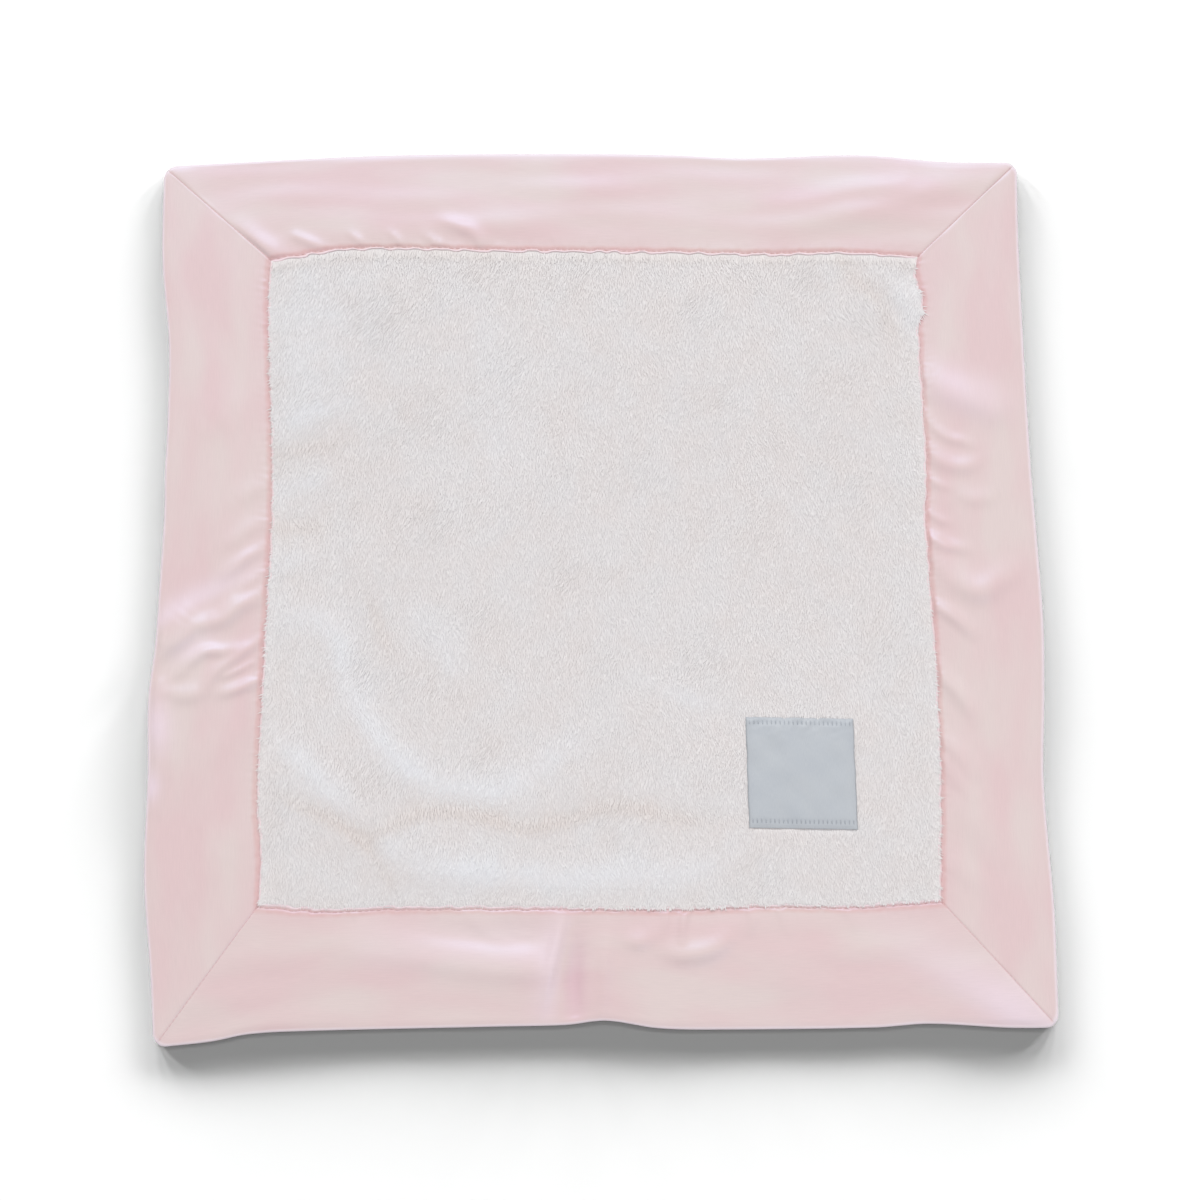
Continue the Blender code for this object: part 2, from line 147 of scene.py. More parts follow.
GENTLE_SHARE, STEEP_SHARE = 0.98, 0.68  # of a fold's width, on its two flanks
PUCKER_LENGTH = 0.0036
PUCKER_HEIGHT = 0.00018
PUCKER_REACH = 0.0026
PUCKER_SLANT = 0.4j
RIPPLE_LENGTH = 0.017
RIPPLE_HEIGHT = 0.00009
RIPPLE_STRETCH = 5.0  # how much longer than wide the soft ripples are, along the strip

# Where the satin's points are: from the lip, up to the outer fold's turn, and from each mitre
LEAF_NEAR = (
    LIP_RADIUS, 0.0007, 0.00095, 0.0012, 0.00145, 0.0017, 0.00195, 0.0022, 0.00255, 0.003, 0.0036, 0.0043,
)
LEAF_EVEN_START = 0.0052
LEAF_EVEN_COUNT = 42
LEAF_EVEN_LEFT = 0.0038
LEAF_LEFT = (0.0029, 0.0021, 0.0014, 0.0008, 0.0003, 0)
MITRE_NEAR = (0, 0.000195, 0.00039, 0.00065, 0.00104, 0.00156, 0.00234, 0.00338, 0.00468)
STRIP_STEP = 0.00105
LIP_STEPS = 8
FOLD_STEPS = 10
UNDER_STEPS = 4
BACK_STEPS = 25

# Crests of the folds: the place along the side and the place across from the outer fold to the seam, both in
# thousandths, and the height in tenths, at each point; then the share of the width
CREST_UNITS = (1000, 1000, 10)
SATIN_CRESTS = {
    "top": (
        (((6, 620, 1), (9, 740, 6), (11, 840, 8.5), (13, 920, 7.5), (16, 980, 3)), 1),
        (((64, 810, 4), (76, 900, 6), (91, 990, 3)), 0.6),
        (((141, 810, 0), (144, 900, 5), (146, 980, 2)), 0.5),
        (((200, 800, 0), (203, 900, 5), (203, 990, 2)), 0.5),
        (((245, 820, 0), (259, 910, 5), (272, 970, 2)), 0.6),
        (((288, 700, 2), (305, 760, 6.5), (320, 810, 8), (328, 890, 7.5), (330, 970, 3)), 0.8),
        (((90, 740, 0), (144, 810, 3), (279, 760, 3), (397, 700, 2), (511, 630, 0)), 2.2),
        (((700, 860, 0), (800, 700, 5), (870, 520, 7), (933, 320, 7), (990, 160, 2)), 2),
        (((720, 500, 0), (800, 420, 3.5), (888, 240, 2)), 1.2),
    ),
    "right": (
        (((186, 970, 2), (210, 880, 10), (233, 760, 14), (252, 620, 15), (268, 480, 14), (284, 340, 10),
          (296, 200, 2)), 1.9),
        (((252, 980, 4), (284, 880, 6), (304, 760, 6), (314, 640, 5), (329, 470, 0)), 0.6),
        (((300, 990, 4), (327, 890, 8), (344, 760, 8), (351, 600, 7), (346, 490, 2)), 0.9),
        (((380, 710, 0), (396, 570, 5), (398, 440, 4), (394, 340, 0)), 0.9),
        (((357, 960, 5), (371, 850, 4), (378, 730, 0)), 0.5),
        (((450, 940, 7), (461, 830, 9), (465, 690, 5), (468, 580, 0)), 0.7),
        (((467, 930, 4), (493, 840, 9), (513, 740, 12), (523, 610, 13), (520, 500, 12), (505, 360, 8),
          (492, 220, 3)), 1.4),
        (((553, 970, 6), (562, 840, 11), (574, 720, 9), (590, 590, 0)), 0.75),
        (((650, 990, 7), (664, 900, 11), (674, 800, 11), (689, 700, 8), (706, 610, 0)), 0.9),
        (((410, 940, 4), (423, 850, 5), (428, 740, 0)), 0.5),
        (((756, 970, 6), (763, 830, 8), (785, 620, 0)), 0.9),
        (((790, 950, 5), (805, 800, 4), (815, 650, 0)), 0.8),
        (((830, 800, 0), (843, 680, 6), (868, 520, 2)), 1.8),
        (((930, 850, 4), (926, 700, 3), (920, 500, 0)), 1.2),
    ),
    "bottom": (
        (((871, 670, 0), (829, 640, 6), (762, 600, 8), (707, 540, 9), (665, 490, 10), (625, 470, 11),
          (588, 460, 10), (570, 450, 0)), 1.7),
        (((800, 840, 0), (750, 800, -4), (700, 760, -7), (650, 730, -8), (600, 720, -8),
          (575, 710, -2)), 1.4),
        (((552, 960, 3), (557, 800, 10), (562, 620, 12), (566, 460, 11), (570, 290, 7),
          (574, 110, 2)), 0.7),
        (((531, 780, -3), (535, 550, -12), (537, 330, -14), (535, 100, -6)), 0.9),
        (((490, 790, 2), (497, 530, 7), (501, 260, 6), (505, 50, 2)), 0.8),
        (((369, 1000, 5), (381, 890, 9), (391, 720, 4)), 0.5),
        (((420, 640, 0), (397, 600, 12), (366, 620, 14), (341, 680, 11), (320, 780, 0)), 1.1),
        (((470, 720, 0), (452, 700, 8), (436, 740, 5), (425, 820, 0)), 0.9),
        (((407, 1000, 4), (406, 890, 5), (420, 720, 0)), 0.5),
        (((282, 990, 4), (284, 880, 5), (300, 740, 0)), 0.6),
        (((693, 940, 1), (668, 820, 3), (634, 730, 2), (609, 720, 0)), 0.8),
        (((100, 600, 0), (63, 370, 6), (30, 170, 8), (7, 50, 3)), 2.2),
        (((300, 550, 0), (273, 500, 4), (236, 210, 0)), 2.2),
        (((240, 950, 4), (242, 820, 2), (244, 720, 0)), 0.6),
        (((140, 950, 4), (145, 840, 3), (150, 720, 0)), 0.7),
    ),
    "left": (
        (((543, 930, 3), (533, 810, 8), (523, 720, 8), (512, 620, 5), (504, 550, 0)), 0.75),
        (((505, 930, 3), (494, 820, 4), (484, 720, 0)), 0.6),
        (((473, 970, 3), (466, 830, 10), (461, 740, 13), (455, 680, 13), (448, 590, 12), (448, 460, 11),
          (448, 360, 12), (443, 300, 13), (437, 230, 14), (433, 170, 13), (427, 70, 9), (423, 0, 5)), 1),
        (((405, 760, 2), (404, 620, 8), (409, 530, 10), (411, 450, 10), (408, 390, 9), (403, 320, 8),
          (396, 270, 7), (393, 210, 2)), 0.7),
        (((403, 960, 3), (398, 880, 6), (393, 800, 9), (387, 710, 9), (382, 630, 9), (376, 560, 8),
          (368, 520, 6), (355, 500, 0)), 0.65),
        (((372, 880, 3), (369, 790, 5), (368, 680, 5), (368, 600, 0)), 0.4),
        (((338, 990, 4), (341, 880, 8), (342, 790, 9), (344, 680, 7), (348, 580, 0)), 0.65),
        (((475, 300, 3), (458, 180, 11), (442, 100, 7)), 1.2),
        (((405, 50, 3), (360, 100, 9), (300, 120, 9), (250, 70, 3)), 1.1),
        (((361, 510, 0), (361, 400, 8), (367, 280, 8), (382, 140, 4)), 1),
        (((583, 930, 3), (573, 800, 5), (556, 670, 4), (546, 520, 0)), 0.9),
        (((640, 950, 3), (625, 780, 4), (600, 600, 0)), 1),
        (((300, 800, 0), (280, 620, 4), (250, 400, 0)), 2),
        (((160, 780, 0), (130, 620, 4), (100, 400, 0)), 1.8),
        (((760, 700, 0), (720, 500, 4), (680, 300, 0)), 2.4),
    ),
}

# Painted light on the satin along its folds: a painted lilac highlight, 10, or painted deep-pink shade, -10:
# as the crests, with this in place of the height
SATIN_PAINTED_SHEEN_AND_SHADE = {
    "top": (),
    "right": (
        (((215, 880, 2), (235, 750, 4), (255, 600, 5), (275, 420, 4), (285, 260, 2)), 2.2),
    ),
    "bottom": (
        (((530, 740, -3), (533, 550, -7), (535, 300, -8), (534, 80, -5)), 1.1),
        (((556, 900, 2), (562, 620, 5), (566, 400, 5), (568, 110, 4)), 1.4),
        (((800, 660, 2), (700, 640, 3), (620, 640, 4), (585, 640, 3)), 2.4),
        (((115, 800, 1), (85, 560, 3), (55, 340, 6), (30, 160, 9), (10, 50, 6)), 2.4),
    ),
    "left": (
        (((366, 70, 3), (342, 90, 9), (316, 100, 4)), 1.3),
        (((292, 30, 4), (276, 40, 10), (262, 40, 3)), 0.9),
        (((468, 30, 6), (478, 200, 7), (490, 450, 7), (500, 650, 5), (512, 850, 2)), 1.1),
        (((420, 220, 3), (420, 380, 6), (425, 500, 2)), 1.2),
    ),
}

# Bands of painted light round a strip's section: painted shade where the seam pulls the satin in, a painted
# highlight on the top of the lip and painted sheen along the outer fold. For each, the middle from the hidden
# end, half the width, the unevenness, how it is mixed, and the colour
SATIN_PAINTED_BANDS = (
    (0.0090, 0.0022, 0.9, "MULTIPLY", (251, 237, 235)),
    (0.0070, 0.0009, 0.3, "MIX", (242, 219, 221)),
    (0.0576, 0.0016, 0.4, "MIX", (238, 224, 229)),
)

# The plush panels
PANEL_EDGE_TOP = 0.0039  # the pile's height where it meets the turned edge
PANEL_ROLL_REACH = 0.0035  # the pile's own rounding there
PANEL_RISE_REACH = 0.080  # from the edge to the panel's full height
PANEL_ROLL_SHARE = 0.04  # of the whole rise
PANEL_WAVE_HEIGHT = 0.00006
PANEL_WAVE_LENGTH = 0.030
PANEL_DROP = 0.0007  # over this the pile drops to its height inside the border
PANEL_DROP_START = 0.0007  # outside the window's edge
PANEL_STEP = 0.0026
PANEL_NARROW_STEPS = 4  # inside the border, and down the drop
PANEL_PARTING = 0.00015  # half the gap between the two panels
HIDDEN_TOP = 0.0021  # the panel's upper face inside the border
PANEL_SEAM_BOTTOM = 0.0016
BACK_EDGE_BOTTOM = 0.0007  # the back panel's lower face at its edge
BACK_SAG = 0.0003  # and how much lower it is in the middle
FORM_WIDTH = 0.0050
FORM_HEIGHT = 0.0012
FORM_EDGE_REACH = 0.012  # from the edge to where the ridges and swells have their height
# Ridges and creases of the plush, as the crests above, with the places across and up the window; from these
# the plush materials also take painted shade along the creases and painted light along the ridges
PLUSH_FORMS = (
    (((18, 441, 3), (69, 435, 8), (110, 400, 10), (127, 338, 10), (162, 265, 10), (223, 202, 10),
      (303, 171, 10), (373, 182, 9), (433, 228, 7), (493, 255, 2)), 1.7),
    (((20, 255, 4), (82, 202, 10), (132, 151, 5)), 1.6),
    (((21, 171, -4), (92, 140, -10), (153, 99, -10), (194, 37, -4)), 0.9),
    (((153, 103, -6), (233, 136, -10), (303, 140, -10), (382, 120, -10), (454, 130, -9), (524, 151, -8),
      (603, 136, -8), (704, 125, -2)), 1.1),
    (((183, 79, 6), (282, 57, 10), (453, 46, 10), (622, 57, 8), (712, 79, 2)), 1.8),
    (((10, 742, 6), (74, 756, 7), (127, 765, 1)), 1.3),
    (((12, 636, 6), (48, 644, 6), (86, 645, 1)), 1.2),
    (((13, 523, 5), (50, 528, 5), (88, 531, 1)), 1.2),
    (((11, 693, -5), (63, 698, -6), (116, 704, -1)), 1),
    (((13, 577, -5), (49, 576, -6), (95, 571, -1)), 1),
    (((888, 991, -5), (943, 924, -7), (972, 855, -1)), 1.2),
    (((556, 341, 1), (623, 315, 6), (675, 292, 2)), 1.2),
    (((202, 451, 1), (263, 389, 5), (296, 346, 1)), 1.8),
    (((150, 469, -2), (169, 420, -7), (190, 364, -1)), 0.9),
    (((60, 960, 4), (80, 880, 7), (70, 785, 4)), 5),
    (((945, 978, 3), (982, 932, 6), (991, 870, 2)), 2),
    (((300, 960, 1), (345, 778, 4), (370, 593, 1)), 3.5),
    # A crease along the top edge under the lip, whose dip dies out at the edge: mostly painted shade there
    (((0, 997, -5), (500, 997, -5), (1000, 997, -5)), 0.5),
)

# The pile
NAP = 0.00045  # how far the loose ends of the pile stand over the close pile under them
NAP_TURN = 0.18  # how far the pile's way turns, in radians, towards the upper left
NAP_TURN_ACROSS, NAP_TURN_ACROSS_SPAN = 0.62, 0.5  # shares across and up where it starts, and over what span
NAP_TURN_UP, NAP_TURN_UP_SPAN = 0.45, 0.4
# How far its way strays, in radians, over what length, and the seed
NAP_WAVES = ((0.12, 0.055, 71), (0.05, 0.013, 72), (0.04, 0.004, 73))
PILE_LENGTH = 0.0046
PILE_WIDTH = 0.00036
PILE_SPACING = 0.00080
BACK_PILE_SPACING = 0.0013
PILE_JITTER = 0.48  # of the spacing, either way
PILE_ROOT_DEPTH = 0.0002
BACK_TIP_HEIGHT = 0.0001
EDGE_PILE_SPACING = 0.0001  # of the extra pile along each edge
EDGE_PILE_REACH = 0.0020
EDGE_PILE_HIDDEN = 0.0003  # how far under the top lip the extra pile starts
TOP_PILE_SHARE = 6  # one in so many of the extra pile along the top, where it lies away from the edge
PATCH_COUNT = 3  # pile patches along each side of a panel
WAY_SPREAD, ROLL_SPREAD, CURL_SPREAD = 0.12, 0.05, 0.10
LENGTH_SHARES = (0.75, 1.15)
STEEPNESS_SHARES = (0.85, 1.12)
LYING_SHARE = 0.95  # of a blade's length, in plan
TURN_SHARES = (0.1, 1.0)  # how far the pile at the edge turns outwards
OUTWARD_PULL = 0.8
SPILL_REACH_SHARES = (0.35, 0.80)
CLUMP_LOW = 0.45  # of the spill, between the clumps
SHORT_BLADE_LIFT = 0.2
COMBED_ROOT_SHARE = 0.4  # of the nap, by which the roots stand higher along the top
FRINGE_REACH = 0.0030  # from the edge to where the pile no longer spills out over the lip
FRINGE_CLUMP = 0.006
FRINGE_TURNS = (1.0, 1.0, 0.0, 1.0)  # at the bottom, left, top and right: 0 where it lies away from the edge
# Shares along the window's bottom, left, top and right, from the left or from below, and of the pile's spill
SPILL_SHARES = (
    ((0, 0.5), (0.05, 0.1), (0.42, 0.1), (0.48, 0.8), (1, 0.7)),
    ((0, 0.8), (0.3, 1), (0.6, 0.9), (0.8, 1.1), (1, 0.7)),
    ((0, 0.3), (0.5, 0.2), (1, 0.3)),
    ((0, 0.9), (0.25, 1), (0.55, 0.6), (0.8, 0.5), (0.87, 0.7), (0.92, 1.3), (0.97, 1), (1, 0.5)),
)
BLADE_STATIONS = ((0.0, 0.85), (0.33, 1.0), (0.68, 0.8), (1.0, 0.0))  # shares of the length and of the width
BLADE_LEAD = 1.15  # powers by which a blade runs forward slowly and climbs fast
BLADE_RISE = 1.9
BLADE_POINTS = 7
BLADE_SIZES = (4, 4, 3)
BLADE_FACES = (0, 1, 3, 2, 2, 3, 5, 4, 4, 5, 6)
BLADE_FACES_BELOW = (1, 0, 2, 3, 3, 2, 4, 5, 5, 4, 6)

# The patch
LABEL_WIDTH = 0.0495
LABEL_HEIGHT = 0.0508
LABEL_CLOTH = 0.00018
LABEL_TURNING = 0.006
LABEL_FROM_SIDE = 0.0370
LABEL_FROM_BOTTOM = 0.0334
LABEL_PLACE = (
    1 - (LABEL_FROM_SIDE + LABEL_WIDTH / 2) / WINDOW_SIDE,
    (LABEL_FROM_BOTTOM + LABEL_HEIGHT / 2) / WINDOW_SIDE,
)
LABEL_LEAN = math.radians(0.9)
LABEL_SKEW = 0.04  # how far its sides lie over, as a share of its height
LABEL_ABOVE = 0.0004  # its turned edges' underside over the plush's mean height
LABEL_PLY = 0.0004  # half the height of its turned edges
LABEL_EDGE_SINK = 0.0010  # how far its edges sink into the pile
LABEL_SINK_REACH = 0.0016
LABEL_PUFF = 0.0004
LABEL_RUFFLE, LABEL_RUFFLE_LENGTH, LABEL_RUFFLE_REACH = 0.00030, 0.0050, 0.0035
LABEL_WAVE, LABEL_WAVE_LENGTH = 0.00012, 0.018
LABEL_SIDE_WAVER, LABEL_SIDE_WAVER_LENGTH = 0.0001, 0.014
LABEL_DENT = 0.00016
LABEL_COLUMNS = 60
LABEL_BODY_ROWS = 62
LABEL_TURN_STEPS = 6
LABEL_UNDER_STEPS = 4
PILE_OVER_LABEL = 0.0012
LABEL_ROWS = (LABEL_HEIGHT / 2 - 0.0024, 0.0032 - LABEL_HEIGHT / 2)
LABEL_TICK = 0.0021  # length of one stitch across the row
LABEL_TICK_PITCH = 0.0020

# The thread
THREAD_RADIUS = 0.00013
LABEL_THREAD_RADIUS = 0.00017
THREAD_SIDES, THREAD_RINGS = 6, 5
STITCH_END = 0.45  # a stitch's thickness at its ends, as a share
STITCH_ROUNDING = 0.6
STITCH_ARCH = 1.1  # in radii
WINDOW_PITCH = 0.0028
WINDOW_GAP = 0.0006
WINDOW_THREAD_ABOVE = 0.00008
MITRE_THREAD_SHARE = 0.02
MITRE_STITCHES = 30
MITRE_STITCH_SHARE = 0.94
MITRE_THREAD_ABOVE = -0.00002

# The floor, the lights and the camera
WHITE = (1.0, 1.0, 1.0, 1.0)
WORLD_LEVEL = 0.58
FLOOR_HALF = 3.0
FLOOR_DROP = 0.0002
FLOOR_ALBEDO = 0.10
KEY_PLACE, KEY_SIZE, KEY_POWER = (-0.35, 3.80, 4.10), (4.2, 1.4), 176.0
FILL_PLACE, FILL_SIZE, FILL_POWER = (0.7, -1.0, 1.2), (1.2, 1.2), 4.0
# Suns on the floor alone: degrees round from behind, elevation, spread, and what each adds to a white floor
FLOOR_SUN_ABOVE = (0, 85, 20, 0.125)
LOW_SUN_ELEVATION, LOW_SUN_SPREAD = 4.9, 7.4
LOW_SUNS = ((10, 0.12), (28, 0.15), (48, 0.12))
LENS_DEGREES = 27.92
CAMERA_ELEVATION = 80
CAMERA_DISTANCE = 2.76 * BLANKET_SIDE
CAMERA_TARGET = (0.00115, -0.00685, 0.003)


def eased(share):
    share = np.clip(share, 0.0, 1.0)
    return share * share * (3 - 2 * share)


def bell(distance, width):
    return np.exp(-((distance / width) ** 2))


def smooth_through(points, place):
    """The height at each place of the smooth curve through (place, height) points."""
    places, heights = np.array(points, float).T
    count = len(places)
    before = np.maximum(np.arange(count) - 1, 0)
    after = np.minimum(np.arange(count) + 1, count - 1)
    slopes = (heights[after] - heights[before]) / (places[after] - places[before])
    i = np.clip(np.searchsorted(places, place) - 1, 0, count - 2)
    run = places[i + 1] - places[i]
    t = np.clip((place - places[i]) / run, 0.0, 1.0)
    return (
        heights[i] * (1 + 2 * t) * (1 - t) ** 2
        + slopes[i] * run * t * (1 - t) ** 2
        + heights[i + 1] * t * t * (3 - 2 * t)
        + slopes[i + 1] * run * t * t * (t - 1)
    )


def corner_points(side_length, lie, lie_shares):
    """The four corners of a square as it lies."""
    return [way * side_length / 2 + share * lie for way, share in zip(CORNER_WAYS, lie_shares)]


OUTER_CORNERS = corner_points(BLANKET_SIDE, CORNER_LIE, CORNER_LIE_SHARES)
WINDOW_CORNERS = corner_points(WINDOW_SIDE, WINDOW_LIE, WINDOW_LIE_SHARES)


def side_ends(corners, side):
    """A side's two corners and its way, of length 1."""
    first = SIDES.index(side)
    start, end = corners[first], corners[(first + 1) % len(SIDES)]
    return start, end, (end - start) / abs(end - start)


def run_along(side, plan):
    """How far along its side a plan point is."""
    start, _, along = side_ends(OUTER_CORNERS, side)
    return ((plan - start) * np.conj(along)).real


def from_ends(share):
    """About how far the nearer end of its side is."""
    return np.minimum(share, 1 - share) * WINDOW_SIDE


def corner_drop(distance):
    short = np.maximum(CORNER_RADIUS - distance, 0.0)
    return CORNER_RADIUS - np.sqrt(np.maximum(CORNER_RADIUS**2 - short**2, 0.0))


def outer_point(side, share):
    start, end, along = side_ends(OUTER_CORNERS, side)
    length = abs(end - start)
    mitre = CORNER_RADIUS * (1 - math.sqrt(0.5))
    distance = mitre + share * (length - mitre - mitre)
    bow = EDGE_WANDER * smooth_through(OUTER_EDGE_SHARES[side], share)
    drop = corner_drop(distance) + corner_drop(length - distance)
    return start + along * distance + along * 1j * (bow - drop)


def seam_point(side, share):
    start, end, along = side_ends(WINDOW_CORNERS, side)
    bow = SEAM_WANDER * smooth_through(SEAM_SHARES[side], share)
    return start + (end - start) * share + along * 1j * bow


def plan_centre():
    shares = np.linspace(0, 1, 400)
    edge = np.concatenate([outer_point(side, shares) for side in SIDES])
    return complex(edge.real.min() + edge.real.max(), edge.imag.min() + edge.imag.max()) / 2


CENTRE = plan_centre()


def window_point(across, up):
    """Plan points of the window, 0 to 1 across from the left and up from the bottom, or just outside it."""
    x, y = np.clip(across, 0.0, 1.0), np.clip(up, 0.0, 1.0)
    top_left, top_right, bottom_right, bottom_left = WINDOW_CORNERS
    top, bottom = seam_point("top", x), seam_point("bottom", 1 - x)
    right, left = seam_point("right", 1 - y), seam_point("left", y)
    ruled = bottom + (top - bottom) * y + left + (right - left) * x
    low = bottom_left + (bottom_right - bottom_left) * x
    high = top_left + (top_right - top_left) * x
    outside = ((across - x) + (up - y) * 1j) * WINDOW_SIDE
    return ruled - (low + (high - low) * y) + outside


def waves(points, length, seed, count=20):
    """A smooth random field of about unit height over plan points, of this typical wavelength."""
    draw = np.random.default_rng(seed)
    ways = np.exp(1j * draw.uniform(0, 2 * math.pi, count))
    numbers = 2 * math.pi / length * draw.uniform(0.6, 1.6, count)
    shifts = draw.uniform(0, 2 * math.pi, count)
    total = np.zeros(np.shape(points))
    for way, number, shift in zip(ways, numbers, shifts):
        total = total + np.cos(number * (points * np.conj(way)).real + shift)
    return total * math.sqrt(2 / count)


def smoothed(crest):
    """More points along the smooth curve through a crest's points: both shares, and the height's."""
    numbers = np.arange(len(crest))
    between = np.linspace(0, len(crest) - 1, CREST_STEPS * (len(crest) - 1) + 1)
    columns = (np.array(crest) / CREST_UNITS).T
    return [smooth_through(np.stack([numbers, values], 1), between) for values in columns]


def crest_heights(points, crests, place, width, height):
    """The height at plan points of folds along crests, gentle on the bright flank and steep on the other."""
    total = np.zeros(points.shape)
    for crest, width_share in crests:
        first, second, share = smoothed(crest)
        drawn = list(zip(place(first, second), share))
        best = np.zeros(points.shape)
        for (start, low), (end, high) in zip(drawn, drawn[1:]):
            run = end - start
            t = np.clip(((points - start) * np.conj(run)).real / abs(run) ** 2, 0.0, 1.0)
            off = points - start - run * t
            bright = (off * np.conj(BRIGHT_WAY)).real / np.maximum(np.abs(off), 1e-9)
            flank = STEEP_SHARE + (GENTLE_SHARE - STEEP_SHARE) * eased((bright + 1) / 2)
            made = (low + (high - low) * t) * bell(np.abs(off), width * width_share * flank)
            best = np.where(np.abs(made) > np.abs(best), made, best)
        total += height * best
    return total


def add_object(name, data):
    made = bpy.data.objects.new(name, data)
    bpy.context.scene.collection.objects.link(made)
    return made


def store(things, key, values, kind=np.float32):
    things.foreach_set(key, np.ascontiguousarray(values, kind).ravel())


def add_piece(name, points, corners, sizes, material, uv=None):
    """A mesh object from points, the point at each corner of each face, and each face's count of corners."""
    data = bpy.data.meshes.new(name)
    data.vertices.add(len(points))
    store(data.vertices, "co", points)
    data.loops.add(len(corners))
    store(data.loops, "vertex_index", corners, np.int32)
    data.polygons.add(len(sizes))
    store(data.polygons, "loop_start", np.concatenate(([0], np.cumsum(sizes)[:-1])), np.int32)
    data.update(calc_edges=True)
    if uv is not None:
        store(data.uv_layers.new(name="cloth").data, "uv", uv[corners])
    data.shade_smooth()
    data.materials.append(material)
    piece = add_object(name, data)
    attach(piece, "root")
    return piece


def add_painted_light_mark(piece, marks):
    """Keeps a mark of -1 to 1 at each point, as 0 to 1, for the material to tint by: painted highlight or
    painted light where it is high, painted shade where it is low.
    """
    store(piece.data.attributes.new("lie", "FLOAT", "POINT").data, "value", 0.5 + 0.5 * marks)


def stacked(plan, height):
    """Points from plan points and heights, moved so that the outline's middle is the origin."""
    plan = plan - CENTRE
    return np.stack([plan.real, plan.imag, height], axis=-1).reshape(-1, 3)


def grid_corners(rows, columns):
    index = np.arange(rows * columns).reshape(rows, columns)
    quads = np.stack([index[:-1, :-1], index[1:, :-1], index[1:, 1:], index[:-1, 1:]], axis=-1)
    return quads.reshape(-1), np.full((rows - 1) * (columns - 1), 4)


def grid_piece(name, plan, height, material, uv, thickness):
    """A sheet over a grid of plan points, thickened inwards."""
    corners, sizes = grid_corners(*plan.shape)
    piece = add_piece(name, stacked(plan, height), corners, sizes, material, uv.reshape(-1, 2))
    solidify = piece.modifiers.new("cloth", "SOLIDIFY")
    solidify.thickness = thickness
    solidify.offset = -1.0
    solidify.use_rim = True
    return piece


# The border


def lift(side, share, across):
    near_edge = 1 - eased(across / LIFTED_SHARE)
    return EDGE_LIFT * np.maximum(smooth_through(LIFT_SHARES[side], share), 0.0) * near_edge


def border_point(side, share, across):
    """A point of the border in plan, across 0 at the fold and 1 at the lip, which wavers a little."""
    outer, seam = outer_point(side, share), seam_point(side, share)
    from_seam = (1 - across) * BORDER_WIDTH
    stray = np.clip(waves(seam, LIP_WAVER_LENGTH, 50), -LIP_WAVER_LIMIT, LIP_WAVER_LIMIT)
    waver = LIP_WAVER * stray * np.exp(-from_seam / LIP_WAVER_REACH)
    outward = (outer - seam) / np.abs(outer - seam)
    return outer * (1 - across) + seam * across + outward * waver * eased(from_ends(share) / LIP_WAVER_LENGTH)


def mitre_distance(side, plan):
    """How far plan points are from the nearer of the side's two mitres."""
    first = SIDES.index(side)
    distances = []
    for corner in (first, (first + 1) % len(SIDES)):
        way = WINDOW_CORNERS[corner] - OUTER_CORNERS[corner]
        distances.append(np.abs(((plan - OUTER_CORNERS[corner]) * np.conj(way * 1j / abs(way))).real))
    return np.minimum(*distances)


def front_height(side, share, across):
    """The front leaf's upper face."""
    seed = SIDES.index(side)
    plan = border_point(side, share, across)
    from_seam, from_fold = (1 - across) * BORDER_WIDTH, across * BORDER_WIDTH
    to_mitre, run = mitre_distance(side, plan), run_along(side, plan)
    level = FOLD_HEIGHT + (SEAM_TOP - FOLD_HEIGHT) * eased(across / LEVEL_SHARE)
    crown = SATIN_CROWN * np.sin(math.pi * np.clip(across, 0, 1))
    free = eased((from_seam - LIP_RADIUS) / SEAM_STILL) * eased(from_fold / FOLD_STILL)
    free = free * eased(to_mitre / MITRE_STILL)
    folds = crest_heights(plan, SATIN_CRESTS[side], partial(border_point, side), FOLD_WIDTH, FOLD_RISE)
    ripple = RIPPLE_HEIGHT * waves(run / RIPPLE_STRETCH + 1j * from_seam, RIPPLE_LENGTH, 20 + seed)
    pucker = PUCKER_HEIGHT * waves(run + PUCKER_SLANT * from_seam, PUCKER_LENGTH, 40 + seed)
    pucker = pucker * np.exp(-from_seam / PUCKER_REACH)
    groove = GROOVE_DEPTH * bell(from_seam - GROOVE_FROM_LIP, GROOVE_WIDTH)
    at_top = (side == "top") * eased(from_ends(share) / TOP_END_REACH)
    welt = (LIP_WELT + TOP_WELT * at_top) * bell(from_seam - LIP_RADIUS, LIP_WELT_WIDTH)
    rim = RIM_DROP * (1 - TOP_RIM_LESS * at_top) * np.clip(1 - from_fold / RIM_REACH, 0, 1) ** 2
    roll = MITRE_DEPTH * np.clip(1 - to_mitre / MITRE_ROLL, 0, 1) ** 2 * eased(from_fold / MITRE_FROM_FOLD)
    low = lift(side, share, across)
    height = low + level + crown + free * (folds + ripple + pucker) + welt - groove - rim - roll
    beneath = low + HIDDEN_TOP * (1 - eased((from_seam - SEAM_ALLOWANCE) / VALLEY_REACH))
    return np.maximum(height, beneath + 2 * CLOTH)


def front_stations():
    """Distances from the lip across the front leaf, closer together at the seam and at the outer fold."""
    last = BORDER_WIDTH - FOLD_HEIGHT / 2
    even = np.linspace(LEAF_EVEN_START, last - LEAF_EVEN_LEFT, LEAF_EVEN_COUNT)
    return np.concatenate([LEAF_NEAR, even, last - np.array(LEAF_LEFT)])


def strip_shares():
    """Shares along a strip, closer together at its mitres."""
    near = np.array(MITRE_NEAR) / BLANKET_SIDE
    even = np.linspace(near[-1], 1 - near[-1], round(BLANKET_SIDE / STRIP_STEP))[1:-1]
    return np.concatenate([near, even, 1 - near[::-1]])


